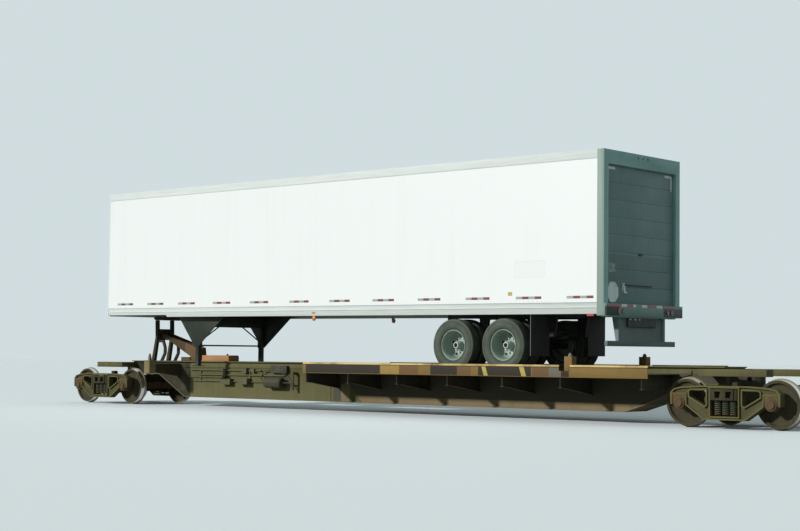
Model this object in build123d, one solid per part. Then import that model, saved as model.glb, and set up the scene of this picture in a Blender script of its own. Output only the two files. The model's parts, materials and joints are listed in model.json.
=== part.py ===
"""Spine flatcar carrying a van semi-trailer, in millimetres.

X runs along the car, towards the trailer's rear doors. Y runs across, away from the side that is shown.
Z is up. The origin is midway between the trucks, on the centre line, at the wheel flanges' lowest points.
"""
import os
from math import atan2, cos, degrees, pi, radians, sin

from build123d import *

os.makedirs("parts", exist_ok=True)

# Running gear of the car, whose length follows the trailer's
truck_margin = 2845
truck_wheelbase = 1778
wheel_radius = 419
flange_height = 25
wheel_back_y = 678
rim_width = 145
wheel_sides = 16
seat_radius = 92
axle_radius = 85
axle_sides = 8
bearing_radius = 115
bearing_width = 170
journal_y = 1003
press_gap = 0.3
running_gap = 0.5
seat_gap = 0.3
side_frame_width = 160
side_frame_top_z = 747
side_frame_bottom_z = 157
side_frame_tip = 48
side_frame_rim = 26
side_frame_recess = 38
window_half_length = 270
window_bottom_z = 222
window_top_z = 705
bolster_half_length = 200
bolster_end_z = 500
bolster_reach = 1120
bowl_radius = 200
bowl_sides = 12
bowl_rim = 28
bowl_floor_z = 706
bowl_rim_z = 735
side_bearing_y = 640
side_bearing_top_z = 806
spring_radius = 68
spring_core = 42
spring_coils = 3
spring_sides = 6
brake_beam_setback = 489
brake_beam_z = 300
brake_shoe_gap = 14

# Spine of the car
spine_top_z = 1070
spine_low_z = 229
spine_high_z = 763
web_half_width = 335
flange_half_width = 395
flange_plate = 20
throat_a_reach = 1415
belly_a_reach = 2388
throat_b_reach = 1137
knee_b_reach = 2037
knee_b_z = 370
belly_b_reach = 2487
doubler_plate = 12
doubler_start_reach = 2567
doubler_end_gap = 198
band_low_z = 920
band_high_z = 1000
band_start_reach = 2337
connector_reach = 368
connector_half_width = 190
connector_top_z = 985
connector_pin_radius = 44
connector_pin_z = 858
arm_low_z = 905
arm_plate = 125
arm_inner_y = 560
arm_outer_y = 800

# Brake gear on the spine
tank_radius = 140
tank_z = 600
tank_places = ((4237, 800), (6087, 600))
pipe_setout = 28
pipe_clamp_steps = (400, 1250, 2130)
brake_cylinder_radius = 120
brake_cylinder_length = 600
brake_cylinder_step = 3050
brake_cylinder_z = 600
lever_step = 3670

# Tyre platforms of the car
deck_top_z = 930
deck_plate = 12
platform_end_reach = 1327
platform_length = 8650
platform_half_width = 1400
sill_plate = 14
sill_rise = 150
sill_drop = 80
lip_width = 40
crossbearer_plate = 14
crossbearer_flange = 80
crossbearer_root_z = 520
crossbearer_tip_z = 662
crossbearer_knee_y = 1240
crossbearer_steps = (60, 1296, 2664, 4003, 5369, 6730, 8493)

# Container pedestals
pedestal_setback = 1765
pedestal_length = 170
pedestal_y = 1250
pedestal_width = 150
pedestal_top_z = 1236
pedestal_gap = 6
pedestal_pin_radius = 14
pedestal_hinge_inset = 30
pedestal_hinge_rise = 45
pedestal_lug_plate = 18
notch_before = 155
notch_after = 95
notch_lip = 40
end_pedestal_reach = 2118
end_pedestal_y = 1230
end_pedestal_top_z = 1066
end_pedestal_cap = 18
lock_height = 62
lock_radius = 45
end_lock_height = 160

# Trailer, drawn level and then seated nose up on the hitch
hitch_setback = 1430
kingpin_setback = 914
trailer_length = 14630
trailer_half_width = 1295
rail_over_tyre = 76
body_height = 3020
trailer_rise = 112
bottom_rail_height = 220
nose_rail_lift = 45
nose_rail_length = 2222
top_rail_height = 170
rail_width = 46
rail_ledge = 10
wall_thickness = 32
wall_inset = 5
nose_wall = 40
nose_corner_radius = 30
floor_thickness = 30
crossmember_depth = 100
crossmember_width = 60
crossmember_pitch = 305
corner_post_length = 150
corner_post_width = 145
corner_post_drop = 30
header_height = 262
rear_sill_drop = 53
rear_sill_rise = 195
rear_sill_step = 66
door_recess = 62
door_thickness = 38
door_panels = 8
door_seam = 9
roof_sheet = 12
roof_camber = 6

# Trailer coupler and hitch
coupler_rise = 24
coupler_plate = 10
coupler_length = 1930
kingpin_radius = 25
kingpin_length = 83
hitch_head_depth = 78
hitch_head_reach = 260
hitch_head_half_width = 360
hitch_leg_y = 230
hitch_leg_half_width = 40
hitch_leg_setback = 278
hitch_tie_low_z = 1580
hitch_tie_high_z = 1850
hitch_strut_y = 115
hitch_strut_half_width = 30
hitch_base_half_width = 165
hitch_bed_height = 30
hitch_screw_start = 1342
hitch_screw_end = 2300
hitch_screw_height = 140

# Trailer landing gear
landing_gear_setback = 3092
landing_gear_y = 990
landing_leg = 124
landing_foot_z = 896
landing_joint_z = 1330
landing_shaft_z = 1373
landing_beam_z = 1806
landing_brace_z = 1440
landing_brace_y = 360
wing_before = 665
wing_after = 980
wing_plate = 8
wing_foot_z = 1345

# Trailer running gear
tandem_setback = 2953
tandem_spacing = 1245
tyre_radius = 515
tyre_half_width = 138
tyre_sides = 16
twin_spacing = 335
tyre_outer_y = 1290
bead_radius = 290
bead_half_width = 95
rim_clearance = 0.3
rim_flange_radius = 304
rim_flange = 12
spindle_radius = 50
hub_bore_depth = 130
trailer_axle_radius = 64
drum_radius = 205
drum_depth = 200
spring_seat_height = 84
spring_eye_rise = 88
slider_reach = 1350
slider_rail_y = 515
slider_rail_half_width = 45
slider_depth = 150
mud_flap_setback = 1265
mud_flap_foot_z = 1250
mud_flap_inner_y = 640
mud_flap_outer_y = 1240

# Trailer rear guard and lamps
guard_bar_z = 1450
guard_bar_height = 100
guard_depth = 70
guard_half_width = 1150
guard_post_y = 745
guard_post_width = 90
guard_post_length = 150
guard_panel_inset = 30
guard_panel = 6
marker_lamp_setback = 7172
marker_lamp_radius = 34
tail_lamp_radius = 48
rear_marker_setback = 300
rear_marker_length = 150
header_lamp_radius = 24
lamp_sides = 8

truck_x = (trailer_length + truck_margin) / 2
axle_z = wheel_radius + flange_height
half_base = truck_wheelbase / 2
brake_beam_x = half_base - brake_beam_setback
doubler_x = -truck_x + doubler_start_reach
platform_end_x = truck_x - platform_end_reach
platform_start_x = platform_end_x - platform_length
pedestal_x = platform_end_x - pedestal_setback
end_pedestal_x = -truck_x + end_pedestal_reach
doubler_end_x = platform_start_x - doubler_end_gap
sill_top_z = deck_top_z + sill_rise
sill_bottom_z = deck_top_z - sill_drop
kingpin_x = -truck_x + hitch_setback
trailer_front_x = kingpin_x - kingpin_setback
trailer_rear_x = trailer_front_x + trailer_length
nose_rail_end_x = trailer_front_x + nose_rail_length
landing_gear_x = trailer_front_x + landing_gear_setback
tandem_x = trailer_rear_x - tandem_setback
rail_bottom_z = deck_top_z + 2 * tyre_radius + rail_over_tyre
roof_z = rail_bottom_z + body_height
floor_top_z = rail_bottom_z + bottom_rail_height
floor_under_z = floor_top_z - floor_thickness
under_z = floor_under_z - crossmember_depth
coupler_bottom_z = rail_bottom_z + coupler_rise
rear_sill_z = rail_bottom_z - rear_sill_drop
floor_half_width = trailer_half_width - rail_width
doorway_half_width = trailer_half_width - corner_post_width
body_start_x = trailer_front_x + nose_wall
body_end_x = trailer_rear_x - corner_post_length
hub_z = deck_top_z + tyre_radius + rim_clearance
spring_seat_z = hub_z + spring_seat_height
twin_y = tyre_outer_y - tyre_half_width - twin_spacing / 2
trailer_tilt = degrees(atan2(trailer_rise, trailer_length))
pedestal_hinge_x = pedestal_x + pedestal_length / 2 - pedestal_hinge_inset
pedestal_hinge_z = deck_top_z + pedestal_hinge_rise


def block(x, y, z):
    """A block between its low and high places along X, Y and Z."""
    middle = [sum(pair) / 2 for pair in (x, y, z)]
    size = [abs(pair[1] - pair[0]) for pair in (x, y, z)]
    return Pos(*middle) * Box(*size)


def slab(outline, y0, y1):
    """A plate across the car, from its outline in X and Z."""
    face = make_face(Polyline(*outline, close=True))
    return Pos(0, max(y0, y1), 0) * extrude(Plane.XZ * face, abs(y1 - y0))


def section(outline, x0, x1):
    """A length along the car, from its section in Y and Z."""
    face = make_face(Polyline(*outline, close=True))
    return Pos(x0, 0, 0) * extrude(Plane.YZ * face, x1 - x0)


def rod(start, end, radius):
    """An eight-sided bar between two points."""
    way = Vector(*end) - Vector(*start)
    return extrude(Plane(origin=start, z_dir=way) * RegularPolygon(radius, 8), way.length)


def turned(profile, sides):
    """A many-sided body round the Y axis, from the radii and places across of its closed profile."""
    turns = [2 * pi * step / sides for step in range(sides)]
    rings = [[(radius * sin(turn), place, radius * cos(turn)) for turn in turns]
             for radius, place in profile]
    faces = []
    for here, ring in enumerate(rings):
        after = (here + 1) % len(rings)
        hubs = (profile[here][0] == 0) + (profile[after][0] == 0)
        if hubs == 1:
            faces.append(Face(Wire.make_polygon(ring if profile[here][0] else rings[after])))
        elif hubs == 0:
            pairs = zip(ring, ring[1:] + ring[:1], rings[after][1:] + rings[after][:1], rings[after])
            faces += [Face(Wire.make_polygon(corners)) for corners in pairs]
    return Solid(Shell(faces))


def bent_bar(line, depth):
    """The outline of a bar of one depth that follows a line in X and Z."""
    return line + [(x, z - depth) for x, z in reversed(line)]


def across_hole(x, y, z, radius, length):
    """A round hole or pin that lies across the car."""
    return Pos(x, y, z) * Rot(90, 0, 0) * Cylinder(radius, length)


def far(piece):
    """The same piece on the far side of the car."""
    return mirror(piece, about=Plane.XZ)


def both_sides(piece):
    """A piece and its twin on the far side."""
    return [piece, far(piece)]


def seated(piece):
    """A piece of the level trailer, tipped nose up about the middle of its axles."""
    pivot = Pos(tandem_x, 0, hub_z)
    return pivot * Rot(0, trailer_tilt, 0) * pivot.inverse() * piece


def seated_z(x, z):
    """The height that a place of the level trailer has once it is seated."""
    tilt = radians(trailer_tilt)
    return hub_z + (z - hub_z) * cos(tilt) - (x - tandem_x) * sin(tilt)


def save(name, pieces):
    """Write one sub-part as a file of its solids."""
    solids = [solid for piece in pieces for solid in piece.solids()]
    export_step(Compound(children=solids), f"parts/{name}.step")


# Trucks

def side_frame():
    """The near cast side frame of a truck, about the truck's centre."""
    jaw = bearing_radius + 13
    jaw_top = axle_z + bearing_radius + 30
    tip = half_base + jaw + side_frame_tip
    half = [
        (0, side_frame_top_z),
        (430, side_frame_top_z),
        (tip - 215, axle_z + 278),
        (tip - 75, axle_z + 246),
        (tip, axle_z + 176),
        (tip, axle_z - 34),
        (half_base + jaw, axle_z - 34),
        (half_base + jaw, jaw_top),
        (half_base - jaw, jaw_top),
        (half_base - jaw, axle_z - 44),
        (400, side_frame_bottom_z),
        (0, side_frame_bottom_z),
    ]
    outline = half + [(-x, z) for x, z in reversed(half[1:-1])]
    solid_face = make_face(Polyline(*outline, close=True))
    window = Pos(0, (window_bottom_z + window_top_z) / 2) * Rectangle(
        2 * window_half_length, window_top_z - window_bottom_z)
    narrow = half_base - jaw - 76
    triangle = make_face(Polyline((352, 665), (352, 420), (385, 392), (narrow, 560), (narrow, 640),
                                  (narrow - 35, 665), close=True))
    holes = [window, triangle, mirror(triangle, about=Plane.YZ)]
    face = solid_face - holes
    recess = offset(solid_face, -side_frame_rim, kind=Kind.INTERSECTION) - [
        offset(hole, side_frame_rim, kind=Kind.INTERSECTION) for hole in holes]
    near_y = -journal_y - side_frame_width / 2
    frame = Pos(0, near_y + side_frame_width, 0) * extrude(Plane.XZ * face, side_frame_width)
    frame = frame - Pos(0, near_y + side_frame_recess, 0) * extrude(Plane.XZ * recess, side_frame_recess)
    seat = block((-window_half_length - 20, window_half_length + 20), (-journal_y, -780),
                 (window_bottom_z - 32, window_bottom_z))
    for side in (-1, 1):
        middle = side * half_base
        adapter = block((middle - jaw + 6, middle + jaw - 6), (near_y + 6, near_y + side_frame_width - 6),
                        (axle_z, jaw_top))
        hole = across_hole(middle, 0, axle_z, bearing_radius + running_gap, 2400)
        frame = frame + (adapter - hole)
    return frame + seat


def bolster():
    """The cast cross beam that rests on the springs and carries the centre bowl."""
    outline = [
        (0, 430), (560, 430), (760, bolster_end_z), (bolster_reach, bolster_end_z), (bolster_reach, 690),
        (760, 700), (340, bowl_floor_z), (0, bowl_floor_z)]
    full = outline + [(-y, z) for y, z in reversed(outline[1:-1])]
    beam = section(full, -bolster_half_length, bolster_half_length)
    lugs = window_half_length - 8
    for side in (-1, 1):
        beam = beam + block((-lugs, lugs), (side * 780, side * (bolster_reach - 20)), (bolster_end_z, 690))
        beam = beam + block((-50, 50), (side * (side_bearing_y - 60), side * (side_bearing_y + 60)),
                            (690, side_bearing_top_z))
        for x in (-105, 105):
            beam = beam - block((x - 55, x + 55), (side * (bolster_reach - 90), side * (bolster_reach + 1)),
                                (540, 650))
    ring = RegularPolygon(bowl_radius + bowl_rim, bowl_sides) - RegularPolygon(bowl_radius, bowl_sides)
    return beam + Pos(0, 0, bowl_floor_z) * extrude(ring, bowl_rim_z - bowl_floor_z)


def coil_spring():
    """One spring of a nest, drawn as its stacked coils."""
    pitch = (bolster_end_z - window_bottom_z) / spring_coils
    profile = [(0, window_bottom_z)]
    for coil in range(spring_coils):
        base = window_bottom_z + coil * pitch
        profile += [(spring_core, base), (spring_radius, base + pitch / 2)]
    profile += [(spring_core, bolster_end_z), (0, bolster_end_z)]
    return Rot(90, 0, 0) * turned(profile, spring_sides)


def spring_nests():
    """Five springs under each end of the bolster."""
    # place along the truck, place across
    inner = journal_y - 140
    places = [(-150, journal_y), (0, journal_y), (150, journal_y), (-80, inner), (80, inner)]
    spring = coil_spring()
    return [Pos(x, side * y, 0) * spring for x, y in places for side in (-1, 1)]


def brake_beams():
    """Two braced brake beams with a shoe behind each wheel."""
    beams = []
    reach = journal_y - side_frame_width / 2 - seat_gap
    high = brake_beam_z + 56
    for side in (-1, 1):
        x = side * brake_beam_x
        bar = block((x - 28, x + 28), (-reach, reach), (brake_beam_z, high))
        strut = block((side * (brake_beam_x - 170), side * (brake_beam_x - 28)), (-35, 35),
                      (brake_beam_z + 12, high - 12))
        ring = across_hole(side * half_base, 0, axle_z, wheel_radius + brake_shoe_gap, 2400)
        for across in (-1, 1):
            shoe = block((x, x + side * 120), (across * (wheel_back_y + 48), across * (wheel_back_y + 128)),
                         (brake_beam_z - 30, brake_beam_z + 140))
            bar = bar + (shoe - ring)
        beams.append(bar + strut)
    return beams


def truck_axle():
    """An axle with its bearings and end caps, about its own centre."""
    bearing_in = journal_y - bearing_width / 2
    bearing_out = journal_y + bearing_width / 2
    # radius, place across
    half = [
        (axle_radius, wheel_back_y - 40), (seat_radius, wheel_back_y - 20), (seat_radius, bearing_in - 40),
        (bearing_radius - 12, bearing_in - 40), (bearing_radius, bearing_in), (bearing_radius, bearing_out),
        (82, bearing_out), (76, bearing_out + 30), (0, bearing_out + 30)]
    return turned(half + [(radius, -place) for radius, place in reversed(half)], axle_sides)


def rail_wheel():
    """The near wheel of a wheelset, about the axle's centre."""
    back = wheel_back_y
    front = back + rim_width
    tread = wheel_radius
    bore = seat_radius + press_gap
    # radius, place across
    profile = [
        (bore, back - 6), (145, back - 6), (352, back + 52), (368, back), (axle_z, back + 8),
        (axle_z, back + 24), (tread + 2, back + 40), (tread - 4, front), (360, front), (348, back + 92),
        (145, front + 25), (bore, front + 25)]
    return turned([(radius, -place) for radius, place in profile], wheel_sides)


def build_truck(letter, side):
    """All the sub-parts of one truck."""
    centre = Pos(side * truck_x, 0, 0)
    save(f"truck_{letter}_side_frames", [centre * piece for piece in both_sides(side_frame())])
    save(f"truck_{letter}_bolster", [centre * bolster()])
    save(f"truck_{letter}_springs", [centre * piece for piece in spring_nests()])
    save(f"truck_{letter}_brake_beams", [centre * piece for piece in brake_beams()])
    for number, end in ((1, -1), (2, 1)):
        place = centre * Pos(end * half_base, 0, axle_z)
        save(f"axle_{letter}{number}", [place * truck_axle()])
        save(f"wheels_{letter}{number}", [place * piece for piece in both_sides(rail_wheel())])


# Car frame

def spine_underside():
    """The lower line of the spine's webs, in X and Z."""
    end = truck_x - connector_reach
    return [
        (-end, spine_high_z), (-truck_x + throat_a_reach, spine_high_z),
        (-truck_x + belly_a_reach, spine_low_z), (truck_x - belly_b_reach, spine_low_z),
        (truck_x - knee_b_reach, knee_b_z),
        (truck_x - throat_b_reach, spine_high_z), (end, spine_high_z)]


def spine_low_at(x):
    """The height of the spine's underside at one place."""
    line = spine_underside()
    for (x0, z0), (x1, z1) in zip(line, line[1:]):
        if x0 <= x <= x1:
            return z0 + (z1 - z0) * (x - x0) / (x1 - x0)
    return spine_high_z


def spine():
    """The box beam between the trucks, with wide plates above and below and doubled webs by the hitch."""
    under = spine_underside()
    end = under[-1][0]
    web_top = spine_top_z - flange_plate
    beam = slab(under + [(end, web_top), (-end, web_top)], -web_half_width, web_half_width)
    beam = beam + block((-end, end), (-flange_half_width, flange_half_width), (web_top, spine_top_z))
    beam = beam + slab(bent_bar(under, flange_plate), -flange_half_width + 15, flange_half_width - 15)
    doubler = [(doubler_x, band_low_z), (doubler_end_x, band_low_z), (doubler_end_x, spine_low_z),
               (doubler_x, spine_low_z)]
    band_x = -truck_x + band_start_reach
    gusset_x = platform_end_x + 260
    gusset = [(platform_end_x, band_high_z), (gusset_x, band_high_z), (gusset_x, band_low_z),
              (platform_end_x, band_low_z - 60)]
    for side in (-1, 1):
        web = side * web_half_width
        beam = beam + slab(doubler, web, web + side * doubler_plate)
        beam = beam + block((band_x, platform_start_x), (web, web + side * 25), (band_low_z, band_high_z))
        beam = beam + slab(gusset, web, web + side * 25)
    return beam


def end_connector(side):
    """The articulation casting at one end of the spine, resting in the truck's bowl."""
    low = spine_high_z - flange_plate
    shank = block((truck_x - connector_reach, truck_x), (-connector_half_width, connector_half_width),
                  (low, connector_top_z))
    nose = extrude(RegularPolygon(connector_half_width, bowl_sides), connector_top_z - low)
    foot = extrude(RegularPolygon(bowl_radius - 8, bowl_sides), low - bowl_floor_z)
    casting = shank + Pos(truck_x, 0, low) * nose + Pos(truck_x, 0, bowl_floor_z) * foot
    casting = casting - across_hole(truck_x, 0, connector_pin_z, connector_pin_radius, 1000)
    return casting if side > 0 else mirror(casting, about=Plane.YZ)


def body_side_bearing(start_reach, end_reach, side):
    """The near arm that reaches out from the spine and runs beside the truck's side bearing."""
    high = arm_low_z + arm_plate
    arm = block((truck_x + start_reach, truck_x - connector_reach), (-arm_outer_y, -web_half_width),
                (arm_low_z, high))
    beam = block((truck_x + start_reach, truck_x + end_reach), (-arm_outer_y, -arm_inner_y),
                 (arm_low_z, high))
    piece = arm + beam
    return piece if side > 0 else mirror(piece, about=Plane.YZ)


def crossbearers():
    """Tapered arms under the near platform."""
    top = deck_top_z - deck_plate
    inner = -platform_half_width + sill_plate
    lip = -platform_half_width + lip_width
    ledge = sill_bottom_z + sill_plate
    arms = []
    for step in crossbearer_steps:
        x = platform_start_x + step
        root = max(crossbearer_root_z, spine_low_at(x) + 40)
        under = [(lip, crossbearer_tip_z), (-crossbearer_knee_y, crossbearer_tip_z), (-web_half_width, root)]
        outline = [(-web_half_width, top), (inner, top), (inner, ledge), (lip, ledge)] + under
        web = section(outline, x - crossbearer_plate / 2, x + crossbearer_plate / 2)
        flange = section(bent_bar(under, crossbearer_plate), x - crossbearer_flange / 2,
                         x + crossbearer_flange / 2)
        arms.append(web + flange)
    return arms


def platform():
    """The near tyre deck with its raised and lipped side sill, and the lugs of the pedestal's hinge."""
    outer = -platform_half_width
    inner = outer + sill_plate
    lip = outer + lip_width
    under = deck_top_z - deck_plate
    outline = [
        (-web_half_width, deck_top_z), (inner, deck_top_z), (inner, sill_top_z - sill_plate),
        (lip, sill_top_z - sill_plate), (lip, sill_top_z), (outer, sill_top_z), (outer, sill_bottom_z),
        (lip, sill_bottom_z), (lip, sill_bottom_z + sill_plate), (inner, sill_bottom_z + sill_plate),
        (inner, under), (-web_half_width, under)]
    deck = section(outline, platform_start_x, platform_end_x)
    deck = deck - block((pedestal_x - notch_before, pedestal_x + notch_after), (outer - 1, lip + 1),
                        (deck_top_z + notch_lip, sill_top_z + 1))
    lug_start = -pedestal_y - pedestal_width / 2 - 34
    lug_end = -pedestal_y + pedestal_width / 2 + 24
    for y0 in (lug_start, lug_end - pedestal_lug_plate):
        deck = deck + block((pedestal_hinge_x - 30, pedestal_hinge_x + 30), (y0, y0 + pedestal_lug_plate),
                            (deck_top_z, pedestal_hinge_z + 30))
    pin = across_hole(pedestal_hinge_x, (lug_start + lug_end) / 2, pedestal_hinge_z, pedestal_pin_radius,
                      lug_end - lug_start)
    return deck + pin


def cone_lock(height):
    """The tapered lock that enters a container's corner, standing on the origin."""
    waist = height * 0.4
    # radius, height
    profile = [(0, 0), (lock_radius, 0), (0.9 * lock_radius, waist), (0.45 * lock_radius, height),
               (0, height)]
    return Rot(90, 0, 0) * turned(profile, 8)


def pedestal():
    """The near folding container pedestal, with its corner lock on top."""
    y0 = -pedestal_y - pedestal_width / 2
    y1 = -pedestal_y + pedestal_width / 2
    x0 = pedestal_x - pedestal_length / 2
    x1 = pedestal_x + pedestal_length / 2
    foot = deck_top_z + pedestal_gap
    body = slab([(x0, foot), (x1 - 55, foot), (x1, foot + 40), (x1, pedestal_top_z), (x0, pedestal_top_z)],
                y0, y1)
    pocket = block((x0 - 1, x1 - 40), (y0 + 20, y1 - 20), (pedestal_hinge_z + 60, pedestal_top_z - 25))
    hole = across_hole(pedestal_hinge_x, -pedestal_y, pedestal_hinge_z, pedestal_pin_radius + running_gap,
                       pedestal_width + 10)
    lock = Pos(pedestal_x, -pedestal_y, pedestal_top_z) * cone_lock(lock_height)
    return body - pocket - hole + lock


def end_pedestal():
    """The near fixed container pedestal, on an outrigger from the spine."""
    cap_top = end_pedestal_top_z + end_pedestal_cap
    post = block((end_pedestal_x - 100, end_pedestal_x + 100), (-end_pedestal_y - 90, -end_pedestal_y + 90),
                 (779, end_pedestal_top_z))
    cap = block((end_pedestal_x - 115, end_pedestal_x + 115), (-end_pedestal_y - 100, -end_pedestal_y + 100),
                (end_pedestal_top_z, cap_top))
    lock = Pos(end_pedestal_x, -end_pedestal_y, cap_top) * cone_lock(end_lock_height)
    arm = section([(-web_half_width, band_high_z), (-end_pedestal_y + 90, band_high_z),
                   (-end_pedestal_y + 90, 800), (-web_half_width, 700)],
                  end_pedestal_x - 70, end_pedestal_x + 70)
    return post + cap + lock + arm


def hitch_head():
    """The top plate of the hitch, with the hole that holds the kingpin, level under the trailer."""
    low = coupler_bottom_z - hitch_head_depth
    front = kingpin_x - hitch_head_reach
    back = kingpin_x + hitch_head_reach
    outline = [(front, low + 30), (front + 60, low), (back - 60, low), (back, low + 30),
               (back, coupler_bottom_z - 10), (back - 60, coupler_bottom_z),
               (front + 20, coupler_bottom_z), (front, coupler_bottom_z - 20)]
    plate = slab(outline, -hitch_head_half_width, hitch_head_half_width)
    return plate - Pos(kingpin_x, 0, coupler_bottom_z - 50) * Cylinder(kingpin_radius + 16, 200)


def head_underside(x):
    """The height at which the hitch's legs meet the underside of its head."""
    return seated_z(x, coupler_bottom_z - hitch_head_depth) - seat_gap


def hitch_legs():
    """Two upright legs, bent back towards their feet, with a cross tie and bowed braces."""
    top_x = kingpin_x - hitch_leg_setback
    leg = [(top_x - 40, head_underside(top_x - 40)), (top_x + 45, head_underside(top_x + 45)),
           (top_x + 55, 1650), (top_x - 60, spine_top_z), (top_x - 170, spine_top_z), (top_x - 25, 1650)]
    brace = [(top_x, hitch_tie_low_z), (top_x + 250, hitch_tie_low_z), (top_x + 330, 1400),
             (top_x + 330, 1250), (top_x + 215, spine_top_z), (top_x + 115, spine_top_z),
             (top_x + 245, 1260), (top_x + 245, 1390), (top_x + 190, 1520), (top_x, 1520)]
    legs = block((top_x - 15, top_x + 60), (-hitch_leg_y, hitch_leg_y), (hitch_tie_low_z, hitch_tie_high_z))
    for side in (-1, 1):
        legs = legs + slab(leg, side * (hitch_leg_y - hitch_leg_half_width),
                           side * (hitch_leg_y + hitch_leg_half_width))
        legs = legs + slab(brace, side * (hitch_leg_y - hitch_leg_half_width), side * hitch_leg_y)
    return legs


def hitch_strut():
    """The long sloping strut from the legs' tie down to its bed, deeper and heavier at its foot."""
    bed_z = spine_top_z + hitch_bed_height
    tie_x = kingpin_x - hitch_leg_setback + 60
    outline = [(tie_x, 1760), (tie_x, 1640), (kingpin_x + 20, 1590), (kingpin_x + 880, 1185),
               (kingpin_x + 935, bed_z), (kingpin_x + 1165, bed_z), (kingpin_x + 1125, 1385),
               (kingpin_x + 935, 1450)]
    strut = block((kingpin_x + 300, kingpin_x + 380), (-hitch_strut_y, hitch_strut_y), (1470, 1540))
    strut = strut + block((kingpin_x + 960, kingpin_x + 1130), (-hitch_strut_y, hitch_strut_y), (1150, 1380))
    for side in (-1, 1):
        strut = strut + slab(outline, side * (hitch_strut_y - hitch_strut_half_width),
                             side * (hitch_strut_y + hitch_strut_half_width))
    return strut


def hitch_base():
    """The bracket, the bed and the screw housing on the spine, at the strut's foot."""
    bed_z = spine_top_z + hitch_bed_height
    high = spine_top_z + hitch_screw_height
    start = kingpin_x + hitch_screw_start
    end = kingpin_x + hitch_screw_end
    outline = [(kingpin_x + 565, spine_top_z), (end, spine_top_z), (end, high - 30), (end - 30, high),
               (start, high), (start, bed_z), (kingpin_x + 900, bed_z), (kingpin_x + 870, bed_z + 65),
               (kingpin_x + 565, bed_z + 65)]
    return slab(outline, -hitch_base_half_width, hitch_base_half_width)


def air_reservoirs():
    """Two brake air tanks with domed ends, slung beside the spine."""
    tanks = []
    web = web_half_width + doubler_plate
    middle_y = web + tank_radius + 10
    for reach, length in tank_places:
        centre = -truck_x + reach
        half = length / 2
        # radius, place along the tank
        dome = [(0, half), (0.65 * tank_radius, half), (tank_radius, half - 50)]
        profile = dome + [(radius, -place) for radius, place in reversed(dome)]
        tank = Pos(centre, middle_y, tank_z) * Rot(0, 0, 90) * turned(profile, axle_sides)
        strap = block((centre - 30, centre + 30), (web, middle_y), (tank_z - 30, tank_z + 30))
        tanks.append(tank + strap)
    return tanks


def brake_pipes():
    """Brake pipes along the near side of the spine, with their clamps, manifold and valves."""
    web = -web_half_width - doubler_plate
    y = web - pipe_setout
    # height, radius, start and end from the doubler's end
    runs = [(863, 21, 60, 2520), (753, 17, 320, 3300), (694, 14, 20, 1300), (605, 17, 170, 2670)]
    pipes = [rod((doubler_x + start, y, z), (doubler_x + end, y, z), radius)
             for z, radius, start, end in runs]
    for step in pipe_clamp_steps:
        x = doubler_x + step
        pipes.append(block((x - 25, x + 25), (y, web), (580, 890)))
    # start and end from the doubler's end, depth, low, high
    boxes = [(1220, 1550, 120, 530, 665), (1225, 1330, 70, 715, 900), (1850, 2170, 150, 545, 680),
             (1930, 2090, 100, 800, 915), (2230, 2330, 80, 825, 900)]
    for start, end, depth, low, high in boxes:
        pipes.append(block((doubler_x + start, doubler_x + end), (web - depth, web), (low, high)))
    return [pipes[0] + pipes[1:]]


def brake_gear():
    """The brake cylinder with its reservoir, lever, rod and hose, on the near side of the spine."""
    web = -web_half_width - doubler_plate
    x = doubler_x + brake_cylinder_step
    y = web - 10 - brake_cylinder_radius
    half = brake_cylinder_length / 2
    lever_x = doubler_x + lever_step
    # radius, place along the cylinder
    profile = [(0, half), (0.5 * brake_cylinder_radius, half), (brake_cylinder_radius, half - 60),
               (brake_cylinder_radius, 20 - half), (0.8 * brake_cylinder_radius, -half), (0, -half)]
    cylinder = Pos(x, y, brake_cylinder_z) * Rot(0, 0, 90) * turned(profile, axle_sides)
    box_y = -web_half_width - 25
    hose_y = box_y - 55
    pieces = [
        block((x - 40, x + 40), (y, web), (brake_cylinder_z - 40, brake_cylinder_z + 40)),
        rod((x + half - 10, y, brake_cylinder_z), (lever_x, y, brake_cylinder_z), 18),
        block((lever_x - 30, lever_x + 30), (y - 12, y + 12), (440, 860)),
        block((lever_x - 35, lever_x + 35), (y, web), (790, 840)),
        block((x - 150, x + 370), (box_y - 70, box_y), (820, 985)),
        rod((x + 120, hose_y, 835), (x + 320, hose_y, 785), 12),
        rod((x + 312, hose_y, 790), (lever_x, y, 470), 12),
        rod((x - 140, hose_y, 885), (x - 420, hose_y, 850), 14),
        rod((x - 412, hose_y, 860), (x - 490, hose_y, 670), 14),
        rod((x - 494, hose_y, 682), (x - half + 40, y + 30, 590), 14),
    ]
    return [cylinder + pieces]


# Trailer body

def trailer_floor():
    """The cargo floor between the bottom rails."""
    across = (-floor_half_width, floor_half_width)
    return block((body_start_x, body_end_x), across, (floor_under_z, floor_top_z))


def crossmembers():
    """Steel channels across the underside of the floor."""
    half = crossmember_width / 2
    thick = 8
    beams = []
    x = nose_rail_end_x - crossmember_pitch / 2
    while x < body_end_x - half:
        outline = [(x - half, floor_under_z), (x + half, floor_under_z), (x + half, floor_under_z - thick),
                   (x - half + thick, floor_under_z - thick), (x - half + thick, under_z + thick),
                   (x + half, under_z + thick), (x + half, under_z), (x - half, under_z)]
        beams.append(slab(outline, -floor_half_width, floor_half_width))
        x += crossmember_pitch
    return beams


def side_wall():
    """The near side wall, between the rails and the end frames."""
    outer = trailer_half_width - wall_inset
    return block((body_start_x, body_end_x), (-outer, -outer + wall_thickness),
                 (floor_top_z, roof_z - top_rail_height))


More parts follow.
